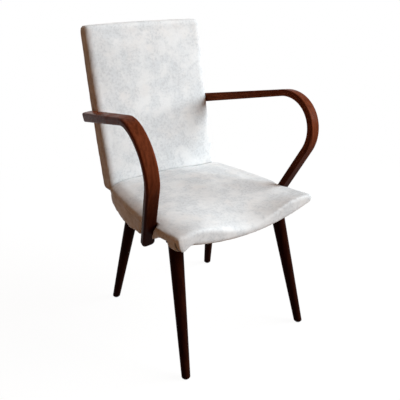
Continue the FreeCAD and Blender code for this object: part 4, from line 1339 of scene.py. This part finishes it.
@dataclass
class Back:
    """The covered back: a thin padded panel with a stitched rear cover."""

    cloth: bpy.types.Material
    thread: bpy.types.Material
    low: float = 405.0
    high: float = 883.5
    foot: float = 152.0
    lean: float = 80.0
    bow: float = 7.0
    half_width: float = 195.0
    lower_thickness: float = 64.0
    upper_thickness: float = 42.0
    crown: float = 3.0
    arch: float = 3.0
    corner: float = 12.0
    edge_round: float = 24.0
    side_draw: float = 12.0
    top_roll: float = 11.0
    bottom_roll: float = 9.0
    most_roll: float = 0.42
    foot_lift: float = 0.15
    rear_draw: float = 0.5
    voxel: float = 5.2
    puff_cap: float = 3.0
    rear_hold: tuple[float, float] = (3.0, 10.0)
    side_hold: tuple[float, float] = (34.0, 16.0)
    top_hold: tuple[float, float] = (38.0, 20.0)
    foot_hold: tuple[float, float] = (34.0, 16.0)
    wave_length: float = 60.0
    wave_seed: int = 11
    wave_start: tuple[float, float] = (60.0, 190.0)
    wave_depth: tuple[float, float, float] = (0.5, 0.35, 0.0)
    rear_margin: float = 22.0
    rear_round: float = 20.0
    least_round: float = 2.0
    rear_search: float = 60.0
    rear_rings: tuple[float, float, int] = (0.06, 0.97, 20)
    rear_crown: float = 1.4
    stitch_spacing: float = 7.0
    stitch_lift: float = 0.35
    stitch_inset: float = -0.4
    # How far inside its edge, and how far off the back, each ring of the rear cover's rim lies
    rear_rim: tuple[tuple[float, float], ...] = (
        (0.0, -1.6),
        (0.0, 0.5),
        (0.5, 1.3),
        (1.6, 1.9),
        (4.0, 2.1),
        (9.0, 2.0),
        (16.0, 2.3),
    )

    def front_at(self, z: float) -> float:
        """Return the place of the front surface's frame at a height."""
        share = (z - self.low) / (self.high - self.low)
        return self.foot + self.lean * share + 4 * self.bow * share * (1 - share)

    def rear_at(self, z: float) -> float:
        """Return the place of the rear surface at a height."""
        share = (z - self.low) / (self.high - self.low)
        fall = self.lower_thickness - self.upper_thickness
        return self.front_at(z) + self.lower_thickness - fall * share

    def section(self, x: float) -> np.ndarray:
        """Return the closed outline from front to back.

        Args:
            x: The place across the chair.

        Returns:
            The outline in millimetres.
        """
        round_off = ease((abs(x) - self.half_width + self.corner) / self.corner)
        draw = self.side_draw * ease((abs(x) - self.half_width + self.edge_round) / self.edge_round)
        flat = 1 - (x / self.half_width) ** 2
        top = self.high - self.arch * (1 - flat) - self.corner * round_off
        low = self.low + self.foot_lift * self.bottom_roll * round_off
        middle, reach = (top + low) / 2, (top - low) / 2

        def front(z: float) -> float:
            """Return the place of the padded front at a height."""
            return self.front_at(z) + draw - self.crown * flat * (1 - ((z - middle) / reach) ** 2)

        def rear(z: float) -> float:
            """Return the place of the rear at a height."""
            return self.rear_at(z) - self.rear_draw * draw

        upper = min(self.top_roll, self.most_roll * (rear(top) - front(top)))
        lower = min(self.bottom_roll, self.most_roll * (rear(low) - front(low)))
        start, end = low + lower, top - upper
        turn = np.linspace(0, math.pi / 2, ROLL_POINTS)
        outline = [(front(z), z) for z in np.linspace(start, end, FACE_POINTS)]

        def rolled(face: Callable[[float], float], inwards: int, level: float, rise: float) -> None:
            """Add the turn of a face over the top or under the foot.

            Args:
                face: The face's place at a height.
                inwards: 1 for the front, and -1 for the rear.
                level: Where the turn starts.
                rise: Its radius, less than 0 at the foot.
            """
            for angle in turn[1:] if inwards * rise > 0 else turn[:0:-1]:
                z = level + rise * math.sin(angle)
                outline.append((face(z) + inwards * abs(rise) * (1 - math.cos(angle)), z))

        rolled(front, 1, end, upper)
        rolled(rear, -1, end, upper)
        outline += [(rear(z), z) for z in np.linspace(end, start, FACE_POINTS)]
        rolled(rear, -1, start, -lower)
        rolled(front, 1, start, -lower)
        return np.array([(x, y, z) for y, z in outline])

    def held(self, points: np.ndarray) -> np.ndarray:
        """Return where the cloth is tacked down or drawn tight, and doesn't swell.

        Args:
            points: The cover's points, in millimetres.

        Returns:
            One share from 0 to 1 per point.
        """
        x, y, z = points.T
        behind = np.array([self.rear_at(level) for level in z]) - y
        side = smooth(*(self.half_width - run for run in self.side_hold), np.abs(x))
        top = smooth(*(self.high - run for run in self.top_hold), z)
        foot = smooth(*(-self.low - run for run in self.foot_hold), -z)
        return np.max([1.0 - smooth(*self.rear_hold, behind), side, top, foot], axis=0)

    def build(self) -> bpy.types.Object:
        """Return the finished cover and pad of the back."""
        turn = self.corner * (1 - np.cos(np.linspace(0, math.pi / 2, CORNER_SECTIONS)))
        inner = self.half_width - self.corner
        right = np.concatenate([np.linspace(0, inner, HALF_SECTIONS), self.half_width - turn[::-1]])
        places = np.unique(np.concatenate([-right, right]).round(3))
        piece = tube("back_upholstery", [self.section(x) for x in places])
        remeshed(piece, self.voxel)
        puffed(piece, self.held(coordinates(piece.data)), self.puff_cap)
        refined(piece)
        points = coordinates(piece.data)
        fade = smooth(*self.wave_start, np.abs(points[:, 0]))[:, None]
        uneven = waves(points, self.wave_length, self.wave_seed)[:, None]
        points += fade * uneven * np.array(self.wave_depth)
        put_back(piece.data, points)
        piece.data.materials.clear()
        dressed(piece, self.cloth)
        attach(piece, "root")
        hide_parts("back_cover", "back_pad")
        LOG.info("back_upholstery: %d faces", len(piece.data.polygons))
        return piece

    def rear_outline(self, inset: float) -> np.ndarray:
        """Return the rear cover's rounded outline as x and z.

        Args:
            inset: How far inside its edge the line lies.

        Returns:
            The closed outline in millimetres.
        """
        half = self.half_width - self.rear_margin - inset
        low, high = self.low + self.rear_margin + inset, self.high - self.rear_margin - inset
        bend = max(self.least_round, self.rear_round - inset)
        spots: list[tuple[float, float]] = []
        corners = ((1, high, 0), (-1, high, 90), (-1, low, 180), (1, low, 270))
        for side, level, start in corners:
            x, z = side * (half - bend), level - bend if level == high else level + bend
            for angle in np.radians(np.linspace(start, start + 90, CORNER_POINTS)):
                spots.append((x + bend * math.cos(angle), z + bend * math.sin(angle)))
        return self.even(np.array(spots), RIM_POINTS)

    @staticmethod
    def even(loop: np.ndarray, count: int) -> np.ndarray:
        """Return a closed loop with evenly spaced points.

        Args:
            loop: The loop's points.
            count: How many points the result has.

        Returns:
            The new points.
        """
        closed = np.vstack([loop, loop[:1]])
        run = np.concatenate([[0], np.cumsum(np.linalg.norm(np.diff(closed, axis=0), axis=1))])
        places = np.linspace(0, run[-1], count, endpoint=False)
        return np.column_stack([np.interp(places, run, column) for column in closed.T])

    def onto_rear(self, body: BVHTree, x: float, z: float, lift: float) -> Vector:
        """Return a point on the back's rear surface.

        Args:
            body: The finished back.
            x: The place across, in millimetres.
            z: The height, in millimetres.
            lift: How far off the surface the point stands.

        Returns:
            The point in metres.
        """
        start = Vector((x, self.rear_at(z) + self.rear_search, z)) * MM
        hit, normal, _, _ = body.ray_cast(start, Vector((0.0, -1.0, 0.0)))
        return hit + normal * (lift * MM)

    def build_rear(self, back: bpy.types.Object) -> bpy.types.Object:
        """Return the rear cover: a turned-in panel of cloth that lies on the back.

        Args:
            back: The finished back.

        Returns:
            The piece.
        """
        graph = bpy.context.evaluated_depsgraph_get()
        body = BVHTree.FromObject(back, graph)
        rings = [
            [(x, z, lift) for x, z in self.rear_outline(inset)] for inset, lift in self.rear_rim
        ]
        centre = np.array((0.0, (self.low + self.high) / 2))
        inset, lift = self.rear_rim[-1]
        last = self.rear_outline(inset)
        for share in np.linspace(*self.rear_rings):
            level = lift + self.rear_crown * share
            rings.append([(*(spot + (centre - spot) * share), level) for spot in last])
        work = bmesh.new()
        made = [[work.verts.new(self.onto_rear(body, *spot)) for spot in ring] for ring in rings]
        skinned(work, made)
        work.faces.new(made[-1])
        work.faces.new(made[0])
        bmesh.ops.triangulate(work, faces=[face for face in work.faces if len(face.verts) > 4])
        bmesh.ops.recalc_face_normals(work, faces=work.faces)
        piece = meshed("back_rear_panel", work)
        piece.data.shade_smooth()
        dressed(piece, self.cloth)
        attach(piece, "root")
        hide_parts("back_rear_cover")
        LOG.info("back_rear_panel: %d faces", len(piece.data.polygons))
        return piece

    def build_stitches(self, back: bpy.types.Object) -> bpy.types.Object:
        """Return the slip stitches round the rear cover, as one piece.

        Args:
            back: The finished back.

        Returns:
            The piece.
        """
        graph = bpy.context.evaluated_depsgraph_get()
        body = BVHTree.FromObject(back, graph)
        loop = self.rear_outline(self.stitch_inset)
        closed = np.vstack([loop, loop[:1]])
        line = np.array([self.onto_rear(body, x, z, self.stitch_lift) for x, z in closed]) / MM
        row = Row(
            Repeat.STITCH, self.stitch_spacing, length=4.2, thickness=0.45, finish=self.thread
        )
        piece = row.along("rear_stitches", [line])
        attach(piece, "root")
        LOG.info("rear_stitches: %d faces", len(piece.data.polygons))
        return piece


@dataclass
class Row:
    """A row of small equal things along a line, laid out by geometry nodes."""

    kind: Repeat
    spacing: float
    length: float
    thickness: float
    finish: bpy.types.Material

    def tree(self) -> bpy.types.NodeTree:
        """Return the node tree that lays out the row."""
        tree = bpy.data.node_groups.new(f"{self.kind.value}_row", "GeometryNodeTree")
        face = tree.interface
        face.new_socket(name="Line", in_out="INPUT", socket_type="NodeSocketGeometry")
        for label in ("Spacing", "Length", "Thickness", "Wander"):
            face.new_socket(name=label, in_out="INPUT", socket_type="NodeSocketFloat")
        face.new_socket(name="Seed", in_out="INPUT", socket_type="NodeSocketInt")
        face.new_socket(name="Row", in_out="OUTPUT", socket_type="NodeSocketGeometry")
        nodes = Nodes(tree)
        source = nodes.add("NodeGroupInput").outputs
        curve = nodes.wired("GeometryNodeMeshToCurve", {"Mesh": source["Line"]}).outputs["Curve"]
        spacing = {"Curve": curve, "Length": source["Spacing"]}
        spaced = nodes.wired("GeometryNodeResampleCurve", spacing, mode="LENGTH")
        ball = {"Segments": 10, "Rings": 6, "Radius": 0.5}
        unit = nodes.wired("GeometryNodeMeshUVSphere", ball).outputs["Mesh"]
        across = "Length" if self.kind is Repeat.TACK else "Thickness"
        axes = enumerate(("Length", across, "Thickness"))
        size = nodes.wired("ShaderNodeCombineXYZ", {axis: source[label] for axis, label in axes})
        shaped = nodes.wired("GeometryNodeTransform", {"Geometry": unit, "Scale": size.outputs[0]})
        placed = nodes.wired(
            "GeometryNodeInstanceOnPoints",
            {"Points": spaced.outputs["Curve"], "Instance": shaped.outputs["Geometry"]},
        )
        if self.kind is Repeat.STITCH:
            tangent = nodes.add("GeometryNodeInputTangent").outputs[0]
            aim = nodes.wired("FunctionNodeAlignRotationToVector", {"Vector": tangent}, axis="X")
            nodes.join(aim.outputs["Rotation"], placed.inputs["Rotation"])
        low = nodes.math("MULTIPLY", source["Wander"], -1.0)
        reach = {0: low, 1: source["Wander"], "Seed": source["Seed"]}
        stray = nodes.wired("FunctionNodeRandomValue", reach, data_type="FLOAT_VECTOR")
        moved = nodes.wired(
            "GeometryNodeTranslateInstances",
            {"Instances": placed.outputs["Instances"], "Translation": stray.outputs[0]},
        )
        loose = {"Geometry": moved.outputs["Instances"]}
        whole = nodes.wired("GeometryNodeRealizeInstances", loose)
        nodes.wired("NodeGroupOutput", {"Row": whole.outputs["Geometry"]})
        return tree

    def along(self, name: str, lines: Sequence[np.ndarray]) -> bpy.types.Object:
        """Return the row as a plain mesh.

        Args:
            name: The piece's name.
            lines: The lines it follows, in millimetres.

        Returns:
            The piece.
        """
        spots, edges = [], []
        for line in lines:
            first = len(spots)
            spots.extend(line * MM)
            edges.extend((first + index, first + index + 1) for index in range(len(line) - 1))
        mesh = bpy.data.meshes.new(name)
        mesh.from_pydata([tuple(spot) for spot in spots], edges, [])
        piece = linked(name, mesh)
        step = piece.modifiers.new("row", "NODES")
        tree = self.tree()
        values = {
            "Spacing": self.spacing * MM,
            "Length": self.length * MM,
            "Thickness": self.thickness * MM,
            "Wander": 0.15 * self.thickness * MM,
            "Seed": 7,
        }
        step.node_group = tree
        for item in tree.interface.items_tree:
            if item.in_out == "INPUT" and item.name in values:
                step[item.identifier] = values[item.name]
        baked(piece)
        dressed(piece, self.finish)
        piece.data.shade_smooth()
        return piece


# Finishes of the carried construction


@dataclass
class Construction:
    """The wooden and metal nodes that show as they are, and their finishes."""

    effects: Effects
    arm: ArmPath

    def finishes(self) -> dict[bpy.types.Material, tuple[str, ...]]:
        """Return each finish with the beginnings of the names of the nodes that take it."""
        red = WoodTones((0.175, 0.043, 0.017), (0.098, 0.022, 0.008), (0.022, 0.004, 0.002))
        # Painted shade: the legs and bearers take a near-black copy of the arms' red stain,
        # darkened for the shade under the seat
        dark = ((0.030, 0.007, 0.003), (0.014, 0.003, 0.002), (0.006, 0.002, 0.001))
        pale = ((0.52, 0.36, 0.22), (0.42, 0.27, 0.15), (0.26, 0.15, 0.08))
        veneer = ((0.50, 0.37, 0.24), (0.36, 0.24, 0.14), (0.24, 0.15, 0.09))
        raw = {"least_rough": 0.5, "most_rough": 0.7, "gloss": 0.2}
        shade_darkened_stain = WoodTones(*dark, gloss=0.006)
        beech, layered = WoodTones(*pale, **raw), WoodTones(*veneer, **raw)
        upright = (140.0, 140.0, 5.0)
        crosswise = (5.0, 150.0, 150.0)
        fore_and_aft = (140.0, 5.0, 140.0)
        plies = (9.0, 9.0, 420.0)
        steel = ((0.55, 0.55, 0.56), (0.36, 0.36, 0.37))
        dark_steel = ((0.16, 0.16, 0.17), (0.07, 0.07, 0.08))
        legs = ("front_leg_l", "front_leg_r", "rear_leg_l", "rear_leg_r")
        rails = ("rear_rail", "back_arm_rail", "back_bottom_rail", "back_top_rail", "back_dowels")
        screws = ("arm_seat_", "arm_back_", "panel_screws", "bracket_screws")
        woods = (
            ("stained_legs_painted_shade", shade_darkened_stain, upright, legs),
            ("stained_bearers_painted_shade", shade_darkened_stain, crosswise, ("front_leg_bearer", "rear_leg_bearer")),
            ("frame_beech_long", beech, fore_and_aft, ("side_rail", "rail_dowels")),
            ("frame_beech_cross", beech, crosswise, rails),
            ("frame_beech_upright", beech, upright, ("back_stile",)),
            ("plywood", layered, plies, ("seat_panel", "back_panel", "back_rear_board")),
        )
        steels = (
            ("bracket_steel", dark_steel, 0.5, ("bracket_left", "bracket_right")),
            ("zinc_steel", steel, 0.38, (*screws, "front_glide", "rear_glide")),
        )
        bent = BentWood("stained_bentwood", self.effects, red, self.arm)
        found = {bent.material: ("arm_left", "arm_right")}
        for name, tones, stretch, starts in woods:
            found[StainedWood(name, self.effects, tones, stretch).material] = starts
        for name, colours, rough, starts in steels:
            found[Steel(name, self.effects, *colours, rough).material] = starts
        return found

    def dress(self) -> None:
        """Give every shown node its finish."""
        for finish, starts in self.finishes().items():
            for name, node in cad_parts.items():
                if name.startswith(starts):
                    dressed(node, finish)
                    LOG.info("%s: %s", name, finish.name)


# Studio and camera


@dataclass(frozen=True)
class Lamp:
    """A soft square lamp."""

    name: str
    place: tuple[float, float, float]
    size: float
    power: float
    colour: Colour = WHITE

    def build(self) -> None:
        """Hang the lamp, aimed at the middle of the chair."""
        light = bpy.data.lights.new(self.name, "AREA")
        light.size = self.size
        light.energy = self.power
        light.color = self.colour
        lamp = bpy.data.objects.new(self.name, light)
        bpy.context.scene.collection.objects.link(lamp)
        aim = CHAIR_MIDDLE - Vector(self.place)
        turn = aim.to_track_quat("-Z", "Y").to_matrix().to_4x4()
        lamp.matrix_world = Matrix.Translation(self.place) @ turn


@dataclass
class Studio:
    """A studio with its main light from the chair's front right.

    The floor and the surround are white to the camera, to reflections and to transmission. To
    the light they are a dim brown, which gives the chair's shaded sides their brown tone.
    """

    lamps: tuple[Lamp, ...] = (
        Lamp("key", (6.30, -4.45, 4.65), 5.8, 1200.0, (0.90, 0.97, 1.0)),
        Lamp("behind", (1.8, 3.0, 2.0), 2.0, 18.0),
    )
    dim: Colour = (0.17, 0.08, 0.034)
    floor_bounce: Colour = (0.18, 0.086, 0.038)
    shadow_share: float = 0.045
    shadow_reach: tuple[float, float] = (0.7, 1.9)
    shadow_gain: float = 1.6
    floor_half: float = 12.0

    def seen(self, nodes: Nodes) -> object:
        """Return 1 for rays that show the background, and 0 for rays that light the chair."""
        path = nodes.add("ShaderNodeLightPath")
        shown = nodes.math("MAXIMUM", path.outputs["Is Camera Ray"], path.outputs["Is Glossy Ray"])
        return nodes.math("MAXIMUM", shown, path.outputs["Is Transmission Ray"])

    def world(self) -> None:
        """Make the surround, white to the eye, and its dim brown light."""
        made = bpy.data.worlds.new("white_surround")
        nodes = cleared(made)
        colour = nodes.mix(self.seen(nodes), self.dim, WHITE)
        shine = nodes.wired("ShaderNodeBackground", {"Color": colour})
        nodes.wired("ShaderNodeOutputWorld", {"Surface": shine.outputs[0]})
        bpy.context.scene.world = made

    def floor(self) -> None:
        """Lay the floor, white to the eye, with the chair's soft shadow on it."""
        work = bmesh.new()
        bmesh.ops.create_grid(work, x_segments=8, y_segments=8, size=self.floor_half)
        piece = meshed("floor", work)
        made = bpy.data.materials.new("pale_floor")
        nodes = cleared(made)
        plain = nodes.wired("ShaderNodeBsdfDiffuse", {"Color": (*self.floor_bounce, 1.0)})
        place = nodes.add("ShaderNodeTexCoord").outputs["Object"]
        spread = nodes.vector("LENGTH", place)["Value"]
        share = nodes.ramp(spread, *self.shadow_reach, self.shadow_share, 0.0)
        glow = nodes.wired("ShaderNodeEmission", {"Strength": nodes.math("SUBTRACT", 1.0, share)})
        lit = nodes.math("MULTIPLY", share, self.shadow_gain)
        shade = nodes.wired("ShaderNodeBsdfDiffuse", {"Color": lit})
        shown = nodes.wired("ShaderNodeAddShader", {0: glow.outputs[0], 1: shade.outputs[0]})
        choices = {"Fac": self.seen(nodes), 1: plain.outputs[0], 2: shown.outputs[0]}
        pick = nodes.wired("ShaderNodeMixShader", choices)
        nodes.wired("ShaderNodeOutputMaterial", {"Surface": pick.outputs[0]})
        piece.data.materials.append(made)

    def build(self) -> None:
        """Make the surround, the floor and the lamps."""
        self.world()
        self.floor()
        for lamp in self.lamps:
            lamp.build()
        bpy.context.scene.view_settings.view_transform = "Standard"


@dataclass(frozen=True)
class Viewpoint:
    """Where the photographer stood, in metres and degrees."""

    place: tuple[float, float, float] = (-0.7489, -1.1400, 0.9682)
    turn: float = -34.08
    height: float = 23.24
    roll: float = -1.39
    lens: float = 44.24
    sensor: float = 36.0

    def build(self) -> None:
        """Make the camera and give it to the scene."""
        turn, height, roll = (math.radians(v) for v in (self.turn, self.height, self.roll))
        level = math.cos(height)
        back = Vector((math.sin(turn) * level, -math.cos(turn) * level, math.sin(height)))
        right = Vector((math.cos(turn), math.sin(turn), 0.0))
        up = back.cross(right)
        tilted = right * math.cos(roll) + up * math.sin(roll)
        up = up * math.cos(roll) - right * math.sin(roll)
        data = bpy.data.cameras.new("camera")
        data.lens = self.lens
        data.sensor_width = self.sensor
        camera = bpy.data.objects.new("camera", data)
        bpy.context.scene.collection.objects.link(camera)
        axes = Matrix((tilted, up, back)).transposed().to_4x4()
        camera.matrix_world = Matrix.Translation(self.place) @ axes
        bpy.context.scene.camera = camera


def main() -> None:
    """Build the chair's upholstery, dress its construction, and set up the studio."""
    logging.basicConfig(level=logging.INFO, format="%(name)s: %(message)s")
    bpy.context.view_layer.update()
    effects = Effects()
    arm = ArmPath()
    Viewpoint().build()
    Studio().build()
    cloth = CoverCloth(effects, ClothTones()).material
    thread = Thread(effects).material
    blue, black = (0.10, 0.11, 0.13), (0.05, 0.05, 0.06)
    blued = Steel("blued_tack_steel", effects, blue, black, rough=0.42).material
    seat = Seat(cloth, blued, arm)
    base = seat.build()
    seat.build_tacks()
    back = Back(cloth, thread)
    body = back.build()
    # Painted shade on the back along its joint with the seat
    note_painted_shade(body, joint_painted_shade(body, base, JOINT_SHADE))
    back.build_rear(body)
    back.build_stitches(body)
    Construction(effects, arm).dress()


if __name__ == "__main__":
    main()
